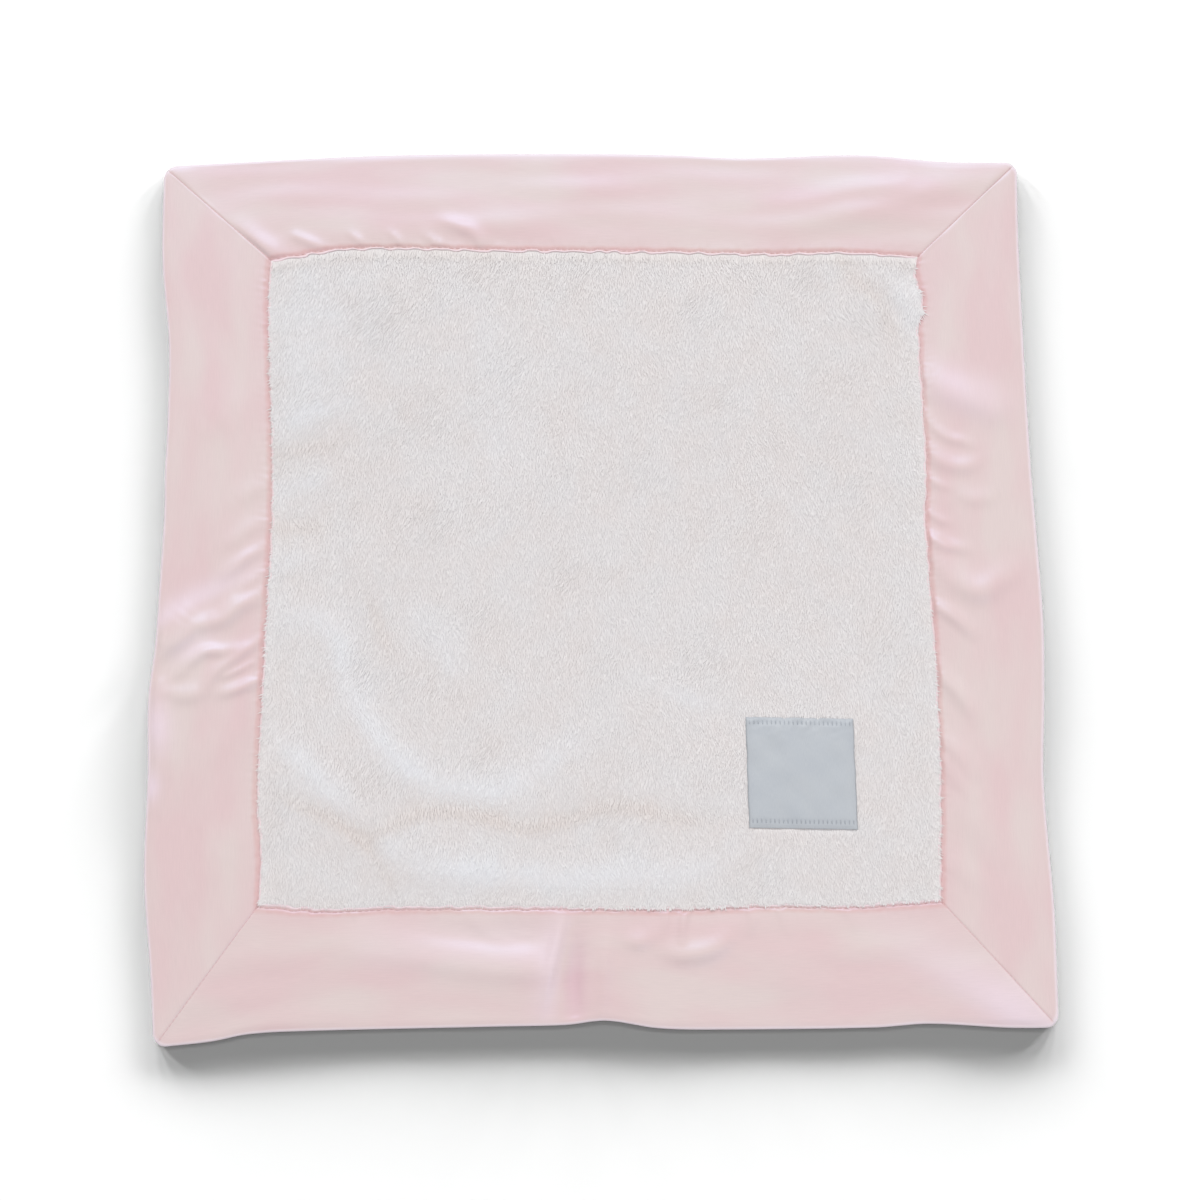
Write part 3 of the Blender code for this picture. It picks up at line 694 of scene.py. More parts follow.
def strip_piece(side, material):
    """A strip: what is turned under in front, the lip, the front, the outer fold, the back and its lip."""
    share = strip_shares()[:, None]
    stations, columns, heights = [], [], []

    def place(from_lip, height):
        stations.append(from_lip)
        columns.append(border_point(side, share, 1 - from_lip / BORDER_WIDTH))
        heights.append(np.broadcast_to(height, columns[-1].shape))

    lip = np.radians(np.linspace(-90, 90, LIP_STEPS + 1))
    lip_run, lip_rise = LIP_RADIUS * (1 - np.cos(lip)), LIP_RADIUS * np.sin(lip)
    under = np.linspace(TURNED_UNDER, LIP_RADIUS, UNDER_STEPS + 1)
    leaf = front_stations()
    lip_top = front_height(side, share, 1 - LIP_RADIUS / BORDER_WIDTH)
    leaf_above = front_height(side, share, 1 - under[:-1] / BORDER_WIDTH)
    place(under[:-1], np.minimum(lip_top - 2 * LIP_RADIUS, leaf_above - UNDER_CLEARANCE))
    place(lip_run[:-1], lip_top - LIP_RADIUS + lip_rise[:-1])
    place(leaf, front_height(side, share, 1 - leaf / BORDER_WIDTH))
    front = slice(sum(len(placed) for placed in stations))

    bend_share = FOLD_HEIGHT / 2 / BORDER_WIDTH
    fold_top, fold_low = front_height(side, share, bend_share), lift(side, share, bend_share)
    middle, half = (fold_top + fold_low) / 2, (fold_top - fold_low) / 2
    turn = np.radians(np.linspace(90, -90, FOLD_STEPS + 1))[1:]
    place(BORDER_WIDTH - BORDER_WIDTH * bend_share * (1 - np.cos(turn)), middle + half * np.sin(turn))
    back = np.linspace(BORDER_WIDTH * (1 - bend_share), LIP_RADIUS, BACK_STEPS + 1)[1:]
    place(back, lift(side, share, 1 - back / BORDER_WIDTH))
    back_low = lift(side, share, 1.0)
    place(lip_run[1:], back_low + LIP_RADIUS + lip_rise[1:])
    place(under[-2::-1], back_low + 2 * LIP_RADIUS)

    plan, height = np.concatenate(columns, axis=1), np.concatenate(heights, axis=1)
    gap = side_ends(OUTER_CORNERS, side)[2] * MITRE_GAP / math.sqrt(2)
    plan[0] += gap
    plan[-1] -= gap
    run = run_along(side, plan)
    walk = np.hypot(np.diff(np.concatenate(stations)), np.diff(height[len(height) // 2]))
    uv = np.stack([run, np.broadcast_to(np.append(0.0, np.cumsum(walk)), run.shape)], axis=-1)
    # Marks for painted light on the front leaf: a painted lilac highlight and painted deep-pink shade along
    # the folds
    painted_sheen_and_shade = np.zeros(plan.shape)
    marks = crest_heights(plan[:, front], SATIN_PAINTED_SHEEN_AND_SHADE[side], partial(border_point, side), FOLD_WIDTH, 1.0)
    painted_sheen_and_shade[:, front] = np.clip(marks, -1.0, 1.0)
    piece = grid_piece(f"satin_{side}", plan, height, material, uv, CLOTH)
    add_painted_light_mark(piece, painted_sheen_and_shade)
    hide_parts(f"border_{side}")


# The plush


def inside(across, up):
    """How far inside the window's edge."""
    return np.minimum(np.minimum(across, 1 - across), np.minimum(up, 1 - up)) * WINDOW_SIDE


def rise(across, up):
    """0 at the turned edge and 1 where the panel has its full height."""
    edge = inside(across, up)
    slow = 1 - (1 - np.clip(edge / PANEL_RISE_REACH, 0, 1)) ** 2
    return PANEL_ROLL_SHARE * eased(edge / PANEL_ROLL_REACH) + (1 - PANEL_ROLL_SHARE) * slow


def swells(across, up):
    total = np.zeros(np.broadcast(across, up).shape)
    for centre_x, centre_y, degrees, length_share, width_share, height_share in SWELL_SHARES:
        x, y = (across - centre_x) * WINDOW_SIDE, (up - centre_y) * WINDOW_SIDE
        angle = math.radians(degrees)
        along = (x * math.cos(angle) + y * math.sin(angle)) / (length_share * SWELL_LENGTH)
        aside = (y * math.cos(angle) - x * math.sin(angle)) / (width_share * SWELL_WIDTH)
        total += height_share * SWELL_HEIGHT * np.exp(-along * along - aside * aside)
    return total


def plush_forms(plan):
    """1 along a ridge of the plush and -1 along a crease."""
    return np.clip(crest_heights(plan, PLUSH_FORMS, window_point, FORM_WIDTH, 1.0), -1.0, 1.0)


def plush_top(across, up):
    """The mean height of the front panel's pile."""
    plan = window_point(across, up)
    forms = FORM_HEIGHT * plush_forms(plan)
    loose = (swells(across, up) + forms) * eased(inside(across, up) / FORM_EDGE_REACH)
    height = PANEL_TOP - PANEL_EDGE_TOP + PANEL_WAVE_HEIGHT * waves(plan, PANEL_WAVE_LENGTH, 61)
    return PANEL_EDGE_TOP + height * rise(across, up) + loose


def close_pile(across, up):
    """The upper face of the front panel's close pile, which drops inside the border."""
    inwards = eased((inside(across, up) + PANEL_DROP_START + PANEL_DROP) / PANEL_DROP)
    return HIDDEN_TOP + (plush_top(across, up) - NAP - HIDDEN_TOP) * inwards


def panel_parting(across, up):
    """Where the two panels lie on each other."""
    return PANEL_SEAM_BOTTOM + (PANEL_SPLIT - PANEL_SEAM_BOTTOM) * rise(across, up)


def back_pile(across, up):
    """The lower face of the back panel's close pile."""
    return BACK_EDGE_BOTTOM - BACK_SAG * rise(across, up)


def panel_grid():
    """Shares across and up of a panel's points, closer together where the pile drops."""
    hidden = np.linspace(PANEL_STEP - SEAM_ALLOWANCE, -2 * PANEL_DROP, PANEL_NARROW_STEPS)
    drop = np.linspace(-PANEL_DROP_START - PANEL_DROP, -PANEL_DROP_START, PANEL_NARROW_STEPS)
    near = np.concatenate([hidden, drop, [0.0]]) / WINDOW_SIDE
    even = np.linspace(0, 1, round(WINDOW_SIDE / PANEL_STEP))[1:-1]
    shares = np.concatenate([near, even, 1 - near[::-1]])
    return np.meshgrid(shares, shares, indexing="ij")


def plush_cloth(name, replaced, bottom, top, material):
    """A panel, closed between two heights over its grid."""
    plan = window_point(*panel_grid())
    rows, columns = plan.shape
    corners, sizes = grid_corners(rows, columns)
    flipped = corners.reshape(-1, 4)[:, ::-1].ravel() + rows * columns
    index = np.arange(rows * columns).reshape(rows, columns)
    loop = np.concatenate([index[0, :-1], index[:-1, -1], index[-1, :0:-1], index[:0:-1, 0]])
    after = np.roll(loop, -1)
    rim = np.stack([loop, after, after + rows * columns, loop + rows * columns], axis=-1).ravel()
    points = np.concatenate([stacked(plan, bottom), stacked(plan, top)])
    corners = np.concatenate([corners, flipped, rim])
    sizes = np.concatenate([sizes, sizes, np.full(len(loop), 4)])
    uv = np.stack([plan.real, plan.imag], axis=-1).reshape(-1, 2)
    piece = add_piece(name, points, corners, sizes, material, np.concatenate([uv, uv]))
    # The forms give the backing painted shade in creases and painted light on ridges
    add_painted_light_mark(piece, np.tile(plush_forms(plan).ravel(), 2))
    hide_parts(replaced)


def flow(plan, across, up):
    """The way the pile lies, as an angle in plan."""
    leftward = eased((NAP_TURN_ACROSS - across) / NAP_TURN_ACROSS_SPAN)
    way = -math.pi / 2 - NAP_TURN * leftward * eased((up - NAP_TURN_UP) / NAP_TURN_UP_SPAN)
    for turn, length, seed in NAP_WAVES:
        way = way + turn * waves(plan, length, seed)
    return way


def pile_roots(draw, spacing):
    """Shares across and up of a panel's pile: all over it, and more of it along each edge."""
    count = round(WINDOW_SIDE / spacing)
    cells = (np.arange(count) + 0.5) / count
    across, up = np.meshgrid(cells, cells, indexing="ij")
    jitter = PILE_JITTER / count
    across = (across + draw.uniform(-jitter, jitter, across.shape)).ravel()
    up = (up + draw.uniform(-jitter, jitter, up.shape)).ravel()
    run = draw.uniform(0, 1, (4, round(WINDOW_SIDE / EDGE_PILE_SPACING)))
    away = draw.uniform(0, EDGE_PILE_REACH / WINDOW_SIDE, run.shape)
    away[1] -= EDGE_PILE_HIDDEN / WINDOW_SIDE
    across = np.concatenate([across, run[0], run[1][::TOP_PILE_SHARE], away[2], 1 - away[3]])
    up = np.concatenate([up, away[0], 1 - away[1][::TOP_PILE_SHARE], run[2], run[3]])
    return across, up


def blades(draw, plan, way, reach, root, climb):
    """Plan points and heights of each blade, in pairs from its root and one at its tip."""
    roll = draw.normal(0, ROLL_SPREAD, len(plan))
    curl = draw.normal(0, CURL_SPREAD, len(plan))
    points = []
    for step, width in BLADE_STATIONS:
        forward = plan + way * np.exp(1j * curl * step) * reach * step**BLADE_LEAD
        height = root + climb * (1 - (1 - step) ** BLADE_RISE)
        half = PILE_WIDTH / 2 * width
        hands = (-1, 1) if width else (0,)
        for hand in hands:
            aside = hand * way * 1j * half * np.cos(roll)
            points.append((forward + aside, height + hand * half * np.sin(roll)))
    return [np.stack(values, axis=1) for values in zip(*points)]


def pile_pieces(prefix, spacing, material, upward):
    """Blades of pile in patches over a panel, each lying over along the flow."""
    draw = np.random.default_rng(81 if upward else 82)
    across, up = pile_roots(draw, spacing)
    if upward:
        keep = ~under_label(window_point(across, up))
        across, up = across[keep], up[keep]
    plan = window_point(across, up)
    count = len(plan)
    way = np.exp(1j * (flow(plan, across, up) + draw.normal(0, WAY_SPREAD, count)))
    length = PILE_LENGTH * draw.uniform(*LENGTH_SHARES, count)
    steepness = draw.uniform(*STEEPNESS_SHARES, count)

    nearest = np.argmin([up, across, 1 - up, 1 - across], axis=0)
    outward = np.array([-1j, -1, 1j, 1])[nearest]
    spills = [smooth_through(shares, place) for shares, place in zip(SPILL_SHARES, (across, up, across, up))]
    clumps = CLUMP_LOW + (1 - CLUMP_LOW) * eased(0.5 + 0.5 * waves(plan, FRINGE_CLUMP, 74))
    spill = np.choose(nearest, spills) * clumps
    fringe = np.clip(1 - inside(across, up) / FRINGE_REACH, 0, 1) * np.array(FRINGE_TURNS)[nearest]
    turn = fringe * draw.uniform(*TURN_SHARES, count)
    way = way * (1 - turn) + outward * turn * OUTWARD_PULL
    way = way / np.abs(way)
    spilled = spill * draw.uniform(*SPILL_REACH_SHARES, count)
    reach = length * (LYING_SHARE + (spilled - LYING_SHARE) * eased(2 * fringe))
    ahead = way * reach
    tip = np.clip([across + ahead.real / WINDOW_SIDE, up + ahead.imag / WINDOW_SIDE], 0.0, 1.0)
    if upward:
        combed = eased(1 - (1 - up) * WINDOW_SIDE / PILE_LENGTH)
        deep = close_pile(across, up) - PILE_ROOT_DEPTH
        root = deep + COMBED_ROOT_SHARE * (NAP + PILE_ROOT_DEPTH) * combed
        over = NAP * steepness * np.clip(reach / PILE_LENGTH + SHORT_BLADE_LIFT, 0.0, 1.0)
        climb = close_pile(*tip) + over - root
    else:
        root = back_pile(across, up) + PILE_ROOT_DEPTH
        climb = -(root - BACK_TIP_HEIGHT) * np.minimum(steepness, 1.0)
    plan_points, heights = blades(draw, plan, way, reach, root, climb)

    faces = np.array(BLADE_FACES if upward else BLADE_FACES_BELOW)
    column, row = [np.clip((shares * PATCH_COUNT).astype(int), 0, PATCH_COUNT - 1) for shares in (across, up)]
    for patch in range(PATCH_COUNT * PATCH_COUNT):
        mine = np.flatnonzero(column * PATCH_COUNT + row == patch)
        corners = (np.arange(len(mine))[:, None] * BLADE_POINTS + faces).ravel()
        sizes = np.tile(BLADE_SIZES, len(mine))
        coords = stacked(plan_points[mine], heights[mine])
        piece = add_piece(f"{prefix}_{patch + 1}", coords, corners, sizes, material)
        # The forms give the pile painted shade in creases and painted light on ridges
        add_painted_light_mark(piece, np.repeat(plush_forms(plan[mine]), BLADE_POINTS))


# The patch


def leaned(aside, above):
    """A step in plan from the patch's middle to a place on it."""
    return (aside - LABEL_SKEW * above + 1j * above) * np.exp(-1j * LABEL_LEAN)


def label_plan(aside, above):
    return window_point(*LABEL_PLACE) + leaned(aside, above)


def label_shares(aside, above):
    """Window shares of places on the patch."""
    step = leaned(aside, above) / WINDOW_SIDE
    return LABEL_PLACE[0] + step.real, LABEL_PLACE[1] + step.imag


def under_label(plan):
    """Where the patch covers the pile, all but a little at its edges."""
    turned = (plan - window_point(*LABEL_PLACE)) * np.exp(1j * LABEL_LEAN)
    covered = np.abs(turned.real + LABEL_SKEW * turned.imag) < LABEL_WIDTH / 2 - PILE_OVER_LABEL
    return covered & (np.abs(turned.imag) < LABEL_HEIGHT / 2 - PILE_OVER_LABEL)


def label_height(aside, above):
    """The upper face of the patch: puffed between its rows of thread, a little ruffled at the top edge."""
    plan = aside + 1j * above
    puff = LABEL_PUFF * np.cos(math.pi * aside / LABEL_WIDTH) * np.cos(math.pi * above / LABEL_HEIGHT)
    ruffle = LABEL_RUFFLE * waves(plan, LABEL_RUFFLE_LENGTH, 91)
    ruffle = ruffle * np.exp(-(LABEL_HEIGHT / 2 - above) / LABEL_RUFFLE_REACH)
    wave = LABEL_WAVE * waves(plan, LABEL_WAVE_LENGTH, 92)
    edge = np.minimum(LABEL_WIDTH / 2 - np.abs(aside), LABEL_HEIGHT / 2 - np.abs(above))
    sink = LABEL_EDGE_SINK * np.exp(-np.maximum(edge, 0.0) / LABEL_SINK_REACH)
    dents = sum(LABEL_DENT * np.exp(-(((above - row) / (LABEL_TICK / 2)) ** 4)) for row in LABEL_ROWS)
    plush = plush_top(*label_shares(aside, above))
    return plush + LABEL_ABOVE + 2 * LABEL_PLY + puff + ruffle + wave - sink - dents


def label_piece(material):
    """The patch, from under its top edge over its face to under its bottom edge."""
    turned = LABEL_HEIGHT / 2 - LABEL_PLY
    under = np.linspace(LABEL_HEIGHT / 2 - LABEL_TURNING, turned, LABEL_UNDER_STEPS + 1)[:-1]
    turn = np.radians(np.linspace(-90, 90, LABEL_TURN_STEPS + 1))
    face = np.linspace(turned, -turned, LABEL_BODY_ROWS)[1:-1]
    edge = np.concatenate([under, turned + LABEL_PLY * np.cos(turn)])
    edge_drop = np.concatenate([np.full(len(under), 2 * LABEL_PLY), LABEL_PLY - LABEL_PLY * np.sin(turn)])
    above = np.concatenate([edge, face, -edge[::-1]])[:, None]
    drop = np.concatenate([edge_drop, np.zeros(len(face)), edge_drop[::-1]])[:, None]
    aside = np.linspace(-LABEL_WIDTH / 2, LABEL_WIDTH / 2, LABEL_COLUMNS)[None, :]
    waver = LABEL_SIDE_WAVER * waves(above, LABEL_SIDE_WAVER_LENGTH, 93)
    aside = aside + waver * (np.abs(aside) / (LABEL_WIDTH / 2)) ** 4 * np.sign(aside)
    height = label_height(aside, np.clip(above, -turned, turned)) - drop
    uv = np.stack(np.broadcast_arrays(aside, above), axis=-1)
    piece = grid_piece("patch_ribbon", label_plan(aside, above), height, material, uv, LABEL_CLOTH)
    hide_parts("label_patch")


# The thread


def stitches(name, rows, radius, material):
    """One mesh of stitches, each an arched tapered tube. Each row is an array of starts and one of ends."""
    starts, ends = [np.concatenate(points) for points in zip(*rows)]
    run = ends - starts
    ahead = run / np.linalg.norm(run, axis=1, keepdims=True)
    aside = np.cross(ahead, (0.0, 0.0, 1.0))
    aside /= np.linalg.norm(aside, axis=1, keepdims=True)
    upward = np.cross(aside, ahead)
    points = []
    for share in np.linspace(0, 1, THREAD_RINGS):
        arch = math.sin(math.pi * share)
        fat = radius * (STITCH_END + (1 - STITCH_END) * arch**STITCH_ROUNDING)
        middle = starts + run * share + upward * radius * STITCH_ARCH * arch
        for turn in range(THREAD_SIDES):
            angle = 2 * math.pi * turn / THREAD_SIDES
            points.append(middle + aside * fat * math.cos(angle) + upward * fat * math.sin(angle))
    ring = np.arange(THREAD_SIDES)
    after = np.roll(ring, -1)
    band = np.stack([ring, after, after + THREAD_SIDES, ring + THREAD_SIDES], axis=-1).ravel()
    bands = [band + number * THREAD_SIDES for number in range(THREAD_RINGS - 1)]
    faces = np.concatenate([*bands, ring[::-1], ring + (THREAD_RINGS - 1) * THREAD_SIDES])
    sizes = [4] * (THREAD_SIDES * (THREAD_RINGS - 1)) + [THREAD_SIDES] * 2
    corners = (np.arange(len(starts))[:, None] * len(points) + faces).ravel()
    coords = np.stack(points, axis=1).reshape(-1, 3)
    piece = add_piece(name, coords, corners, np.tile(sizes, len(starts)), material)


def window_rows():
    """Stitches along the groove round the window."""
    rows = []
    across = 1 - GROOVE_FROM_LIP / BORDER_WIDTH
    for side in SIDES:
        start, end, _ = side_ends(WINDOW_CORNERS, side)
        count = round(abs(end - start) / WINDOW_PITCH)
        shares = (np.arange(count) + 0.5) / count
        half = (WINDOW_PITCH - WINDOW_GAP) / 2 / abs(end - start)
        row = []
        for share in (shares - half, shares + half):
            height = front_height(side, share, across) + WINDOW_THREAD_ABOVE
            row.append(stacked(border_point(side, share, across), height))
        rows.append(row)
    return rows


def mitre_rows():
    """Stitches along the bottom of each mitre."""
    rows = []
    across = np.linspace(MITRE_THREAD_SHARE, 1 - MITRE_THREAD_SHARE, MITRE_STITCHES + 1)
    for side in SIDES:
        height = front_height(side, 0.0, across) + MITRE_THREAD_ABOVE
        points = stacked(border_point(side, 0.0, across), height)
        rows.append((points[:-1], points[:-1] + (points[1:] - points[:-1]) * MITRE_STITCH_SHARE))
    return rows


def label_rows():
    """Short stitches that stand side by side across the patch's turned edges."""
    count = round((LABEL_WIDTH - LABEL_TICK_PITCH) / LABEL_TICK_PITCH)
    aside = (np.arange(count) - (count - 1) / 2) * LABEL_TICK_PITCH
    rows = []
    for row in LABEL_ROWS:
        ends = (row - LABEL_TICK / 2, row + LABEL_TICK / 2)
        rows.append([stacked(label_plan(aside, above), label_height(aside, above)) for above in ends])
    return rows


# Materials


def feed(tree, socket, value):
    """Links an output to a socket, or sets a plain value on it."""
    if hasattr(value, "is_output"):
        tree.links.new(value, socket)
    else:
        socket.default_value = value


def feed_named(tree, made, **values):
    """Feeds the sockets of a node, named with underscores for spaces."""
    for key, value in values.items():
        feed(tree, made.inputs[key.replace("_", " ")], value)


def node(tree, kind, settings=(), **values):
    """A node with its settings as (name, value) pairs, and its sockets fed."""
    made = tree.nodes.new(kind)
    for key, value in settings:
        setattr(made, key, value)
    feed_named(tree, made, **values)
    return made


def new_material(name):
    material = bpy.data.materials.new(name)
    material.use_nodes = True
    return material, material.node_tree


def shade(material, **values):
    """Feeds the sockets of a material's shader, and hands the material back."""
    tree = material.node_tree
    feed_named(tree, tree.nodes["Principled BSDF"], **values)
    return material


def linear(red, green, blue):
    """An sRGB colour of 0 to 255 as linear shares, with an alpha of 1."""
    shares = []
    for value in (red, green, blue):
        value /= 255
        shares.append(value / 12.92 if value <= 0.04045 else ((value + 0.055) / 1.055) ** 2.4)
    return (*shares, 1.0)


def ramp(tree, factor, low, high, start=0.3, end=0.7):
    """A colour between two sRGB colours as factor goes from start to end."""
    made = node(tree, "ShaderNodeValToRGB", Fac=factor)
    for element, position, colour in zip(made.color_ramp.elements, (start, end), (low, high)):
        element.position, element.color = position, linear(*colour)
    return made.outputs["Color"]


def mixed(tree, kind, factor, first, second):
    made = node(tree, "ShaderNodeMix", (("data_type", "RGBA"), ("blend_type", kind)))
    for number, value in ((0, factor), (6, first), (7, second)):
        feed(tree, made.inputs[number], value)
    return made.outputs[2]


def maths(tree, operation, first, second=0.0):
    made = node(tree, "ShaderNodeMath", (("operation", operation),))
    feed(tree, made.inputs[0], first)
    feed(tree, made.inputs[1], second)
    return made.outputs[0]


def noise(tree, vector, scale, detail=3.0, roughness=0.55):
    made = node(tree, "ShaderNodeTexNoise", Vector=vector, Scale=scale, Detail=detail, Roughness=roughness)
    return made.outputs["Fac"]


def grain(tree, source, scale, detail=2.0):
    """Noise stretched by its own scale along each axis."""
    stretched = node(tree, "ShaderNodeMapping", Vector=source, Scale=scale).outputs["Vector"]
    return noise(tree, stretched, 1.0, detail)


def bump(tree, height, strength, distance):
    return node(tree, "ShaderNodeBump", Height=height, Strength=strength, Distance=distance).outputs["Normal"]


def to_range(tree, value, low, high):
    return node(tree, "ShaderNodeMapRange", Value=value, To_Min=low, To_Max=high).outputs["Result"]


def ragged_band(tree, cloth, middle, half, raggedness):
    """1 in the middle of a band round the strip's section, 0 beyond it, and uneven along the strip."""
    station = node(tree, "ShaderNodeSeparateXYZ", Vector=cloth).outputs["Y"]
    off = maths(tree, "ABSOLUTE", maths(tree, "SUBTRACT", station, middle))
    smooth = (("interpolation_type", "SMOOTHSTEP"),)
    near = node(tree, "ShaderNodeMapRange", smooth, Value=off, From_Max=half, To_Min=1.0, To_Max=0.0)
    uneven = to_range(tree, grain(tree, cloth, (260.0, 120.0, 1.0)), 1.0 - raggedness, 1.0 + raggedness)
    return maths(tree, "MULTIPLY", near.outputs["Result"], uneven)


def satin_material():
    material, tree = new_material("pink_satin_cloth")
    cloth = node(tree, "ShaderNodeUVMap", (("uv_map", "cloth"),)).outputs["UV"]
    tone = grain(tree, cloth, (13.0, 36.0, 1.0))
    colour = ramp(tree, tone, (227, 200, 199), (227, 209, 205), 0.38, 0.62)
    # Painted shade where the seam pulls in, a painted highlight on the lip and painted sheen along the outer
    # fold
    for middle, half, raggedness, kind, painted_band_colour in SATIN_PAINTED_BANDS:
        band = ragged_band(tree, cloth, middle, half, raggedness)
        colour = mixed(tree, kind, band, colour, linear(*painted_band_colour))
    # Painted lilac highlight where the mark is high, painted deep-pink shade where it is low
    lie = node(tree, "ShaderNodeAttribute", (("attribute_name", "lie"),)).outputs["Fac"]
    colour = mixed(tree, "MIX", to_range(tree, lie, -1.0, 1.0), colour, linear(237, 217, 224))
    colour = mixed(tree, "MULTIPLY", to_range(tree, lie, 1.0, -1.0), colour, linear(250, 240, 249))
    threads = ramp(tree, grain(tree, cloth, (120.0, 2600.0, 1.0)), (250, 250, 250), (255, 255, 255))
    streak = grain(tree, cloth, (60.0, 700.0, 1.0))
    weft = grain(tree, cloth, (900.0, 4200.0, 1.0), 1.0)
    return shade(
        material,
        Base_Color=mixed(tree, "MULTIPLY", 1.0, colour, threads),
        Roughness=to_range(tree, streak, 0.30, 0.38),
        Normal=bump(tree, weft, 0.10, 0.0002),
        IOR=1.5,
        Specular_IOR_Level=0.66,
        Specular_Tint=(0.39, 0.61, 1.0, 1.0),
        Sheen_Weight=0.30,
        Sheen_Roughness=0.35,
        Sheen_Tint=(0.93, 0.90, 1.0, 1.0),
    )


def plush_material(name, warm, cool, pile):
    material, tree = new_material(name)
    place = node(tree, "ShaderNodeTexCoord").outputs["Object"]
    colour = ramp(tree, noise(tree, place, 60.0, 3.0, 0.5), warm, cool, 0.35, 0.65)
    # Painted shade, warmer and darker, along creases and painted light, cooler and brighter, along ridges
    lie = node(tree, "ShaderNodeAttribute", (("attribute_name", "lie"),)).outputs["Fac"]
    colour = mixed(tree, "MULTIPLY", 1.0, colour, ramp(tree, lie, (244, 238, 232), (252, 253, 252), 0.0, 1.0))
    if pile:
        island = node(tree, "ShaderNodeNewGeometry").outputs["Random Per Island"]
        blade = ramp(tree, island, (248, 247, 247), (255, 255, 255), 0.0, 1.0)
        colour = mixed(tree, "MULTIPLY", 1.0, colour, blade)
    return shade(
        material,
        Base_Color=colour,
        Roughness=0.95,
        Normal=bump(tree, noise(tree, place, 1400.0, 2.0), 0.15, 0.0003),
        Specular_IOR_Level=0.2,
        Sheen_Weight=0.15,
        Sheen_Roughness=0.6,
    )


def ribbon_material():
    material, tree = new_material("grey_satin_ribbon")
    cloth = node(tree, "ShaderNodeUVMap", (("uv_map", "cloth"),)).outputs["UV"]
    ends = grain(tree, cloth, (5200.0, 420.0, 1.0))
    colour = ramp(tree, ends, (184, 189, 195), (192, 196, 201))
    blot = ramp(tree, noise(tree, cloth, 60.0, 3.0), (250, 251, 253), (255, 255, 255))
    return shade(
        material,
        Base_Color=mixed(tree, "MULTIPLY", 1.0, colour, blot),
        Roughness=to_range(tree, ends, 0.42, 0.54),
        Normal=bump(tree, ends, 0.2, 0.0001),
        Specular_IOR_Level=0.3,
        Sheen_Weight=0.1,
    )


def thread_material(name, low, high):
    material, tree = new_material(name)
    place = node(tree, "ShaderNodeTexCoord").outputs["Object"]
    twist = grain(tree, place, (3000.0, 3000.0, 9000.0), 1.0)
    return shade(
        material,
        Base_Color=ramp(tree, twist, low, high),
        Roughness=0.5,
        Normal=bump(tree, twist, 0.3, 0.0001),
    )


def floor_material():
    material, tree = new_material("floor_white")
    tree.nodes.clear()
    plain = node(tree, "ShaderNodeBsdfDiffuse", Color=(FLOOR_ALBEDO, FLOOR_ALBEDO, FLOOR_ALBEDO, 1.0))
    node(tree, "ShaderNodeOutputMaterial", Surface=plain.outputs[0])
    return material


# The floor, the lights and the camera


def add_floor():
    data = bpy.data.meshes.new("floor")
    corners = [(way.real * FLOOR_HALF, way.imag * FLOOR_HALF, -FLOOR_DROP) for way in CORNER_WAYS[::-1]]
    data.from_pydata(corners, [], [(0, 1, 2, 3)])
    data.materials.append(floor_material())
    floor = add_object("floor", data)
    return floor


def aim(thing, place, target):
    thing.location = place
    thing.rotation_euler = (Vector(target) - Vector(place)).to_track_quat("-Z", "Y").to_euler()


def add_area(name, place, size, power, colour):
    lamp = bpy.data.lights.new(name, "AREA")
    lamp.shape, (lamp.size, lamp.size_y) = "RECTANGLE", size
    lamp.energy, lamp.color = power, colour
    made = add_object(name, lamp)
    aim(made, place, (0, 0, 0))
    made.visible_camera = False


def add_floor_sun(name, azimuth, elevation, spread, level, floor_only):
    """A soft sun that falls on the floor alone. level is what it adds to a white floor."""
    turn, tip = math.radians(azimuth), math.radians(elevation)
    lamp = bpy.data.lights.new(name, "SUN")
    lamp.angle = math.radians(spread)
    lamp.energy = level * math.pi / math.sin(tip) / FLOOR_ALBEDO
    made = add_object(name, lamp)
    aim(made, (math.sin(turn) * math.cos(tip), math.cos(turn) * math.cos(tip), math.sin(tip)), (0, 0, 0))
    made.light_linking.receiver_collection = floor_only


def add_world():
    """Plain light on the blanket, and white where the camera, a gloss or a clear thing sees past it."""
    world = bpy.data.worlds.new("studio")
    bpy.context.scene.world = world
    world.use_nodes = True
    tree = world.node_tree
    tree.nodes.clear()
    rays = node(tree, "ShaderNodeLightPath").outputs
    seen = maths(tree, "MAXIMUM", rays["Is Camera Ray"], rays["Is Glossy Ray"])
    seen = maths(tree, "MAXIMUM", seen, rays["Is Transmission Ray"])
    dim = node(tree, "ShaderNodeBackground", Color=WHITE, Strength=WORLD_LEVEL)
    white = node(tree, "ShaderNodeBackground", Color=WHITE, Strength=1.0)
    mix = node(tree, "ShaderNodeMixShader")
    for number, value in enumerate((seen, dim.outputs[0], white.outputs[0])):
        feed(tree, mix.inputs[number], value)
    node(tree, "ShaderNodeOutputWorld", Surface=mix.outputs[0])


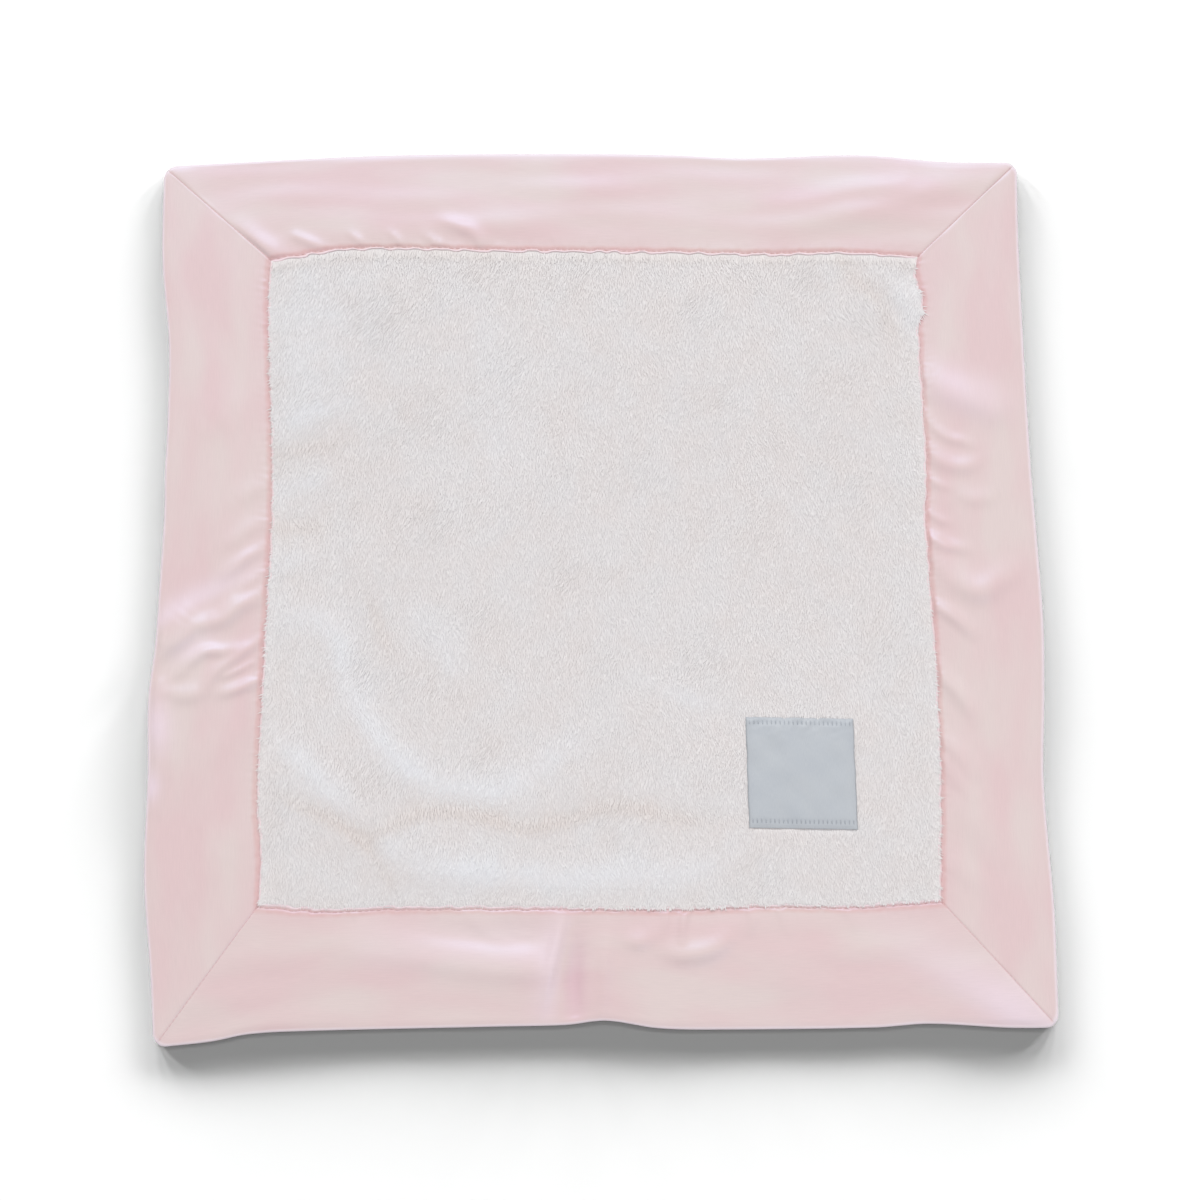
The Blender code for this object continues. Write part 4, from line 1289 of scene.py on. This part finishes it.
def add_camera():
    lens = bpy.data.cameras.new("photo_view")
    lens.sensor_fit = "HORIZONTAL"
    lens.angle = math.radians(LENS_DEGREES)
    camera = add_object("photo_view", lens)
    target, tip = Vector(CAMERA_TARGET), math.radians(CAMERA_ELEVATION)
    aim(camera, target + CAMERA_DISTANCE * Vector((0, -math.cos(tip), math.sin(tip))), target)
    bpy.context.scene.camera = camera


def main():
    bpy.context.scene.view_settings.view_transform = "Standard"
    satin = satin_material()
    plush = plush_material("cream_plush_pile", (244, 242, 245), (244, 244, 248), True)
    # The backing's colour is darker than the pile's: painted shade for the shade among the blades where it
    # shows
    ground = plush_material("cream_plush_backing", (236, 233, 236), (236, 235, 240), False)
    pink_thread = thread_material("pink_thread", (222, 184, 187), (234, 204, 206))
    grey_thread = thread_material("grey_thread", (166, 172, 180), (184, 189, 196))

    shares = panel_grid()
    parting = panel_parting(*shares)
    low, high = parting - PANEL_PARTING, parting + PANEL_PARTING
    plush_cloth("plush_front_cloth", "plush_front", high, close_pile(*shares), ground)
    plush_cloth("plush_back_cloth", "plush_back", back_pile(*shares), low, ground)
    pile_pieces("pile_front", PILE_SPACING, plush, True)
    pile_pieces("pile_back", BACK_PILE_SPACING, plush, False)
    for side in SIDES:
        strip_piece(side, satin)
    label_piece(ribbon_material())
    stitches("thread_window", window_rows(), THREAD_RADIUS, pink_thread)
    stitches("thread_mitres", mitre_rows(), THREAD_RADIUS, pink_thread)
    stitches("thread_patch", label_rows(), LABEL_THREAD_RADIUS, grey_thread)

    floor_only = bpy.data.collections.new("floor_only")
    floor_only.objects.link(add_floor())
    add_world()
    add_area("key", KEY_PLACE, KEY_SIZE, KEY_POWER, (1.0, 1.0, 1.0))
    add_area("fill", FILL_PLACE, FILL_SIZE, FILL_POWER, (1.0, 0.99, 0.99))
    add_floor_sun("floor_top", *FLOOR_SUN_ABOVE, floor_only)
    for azimuth, level in LOW_SUNS:
        for way in (-1, 1):
            add_floor_sun("floor_low", way * azimuth, LOW_SUN_ELEVATION, LOW_SUN_SPREAD, level, floor_only)
    add_camera()


main()
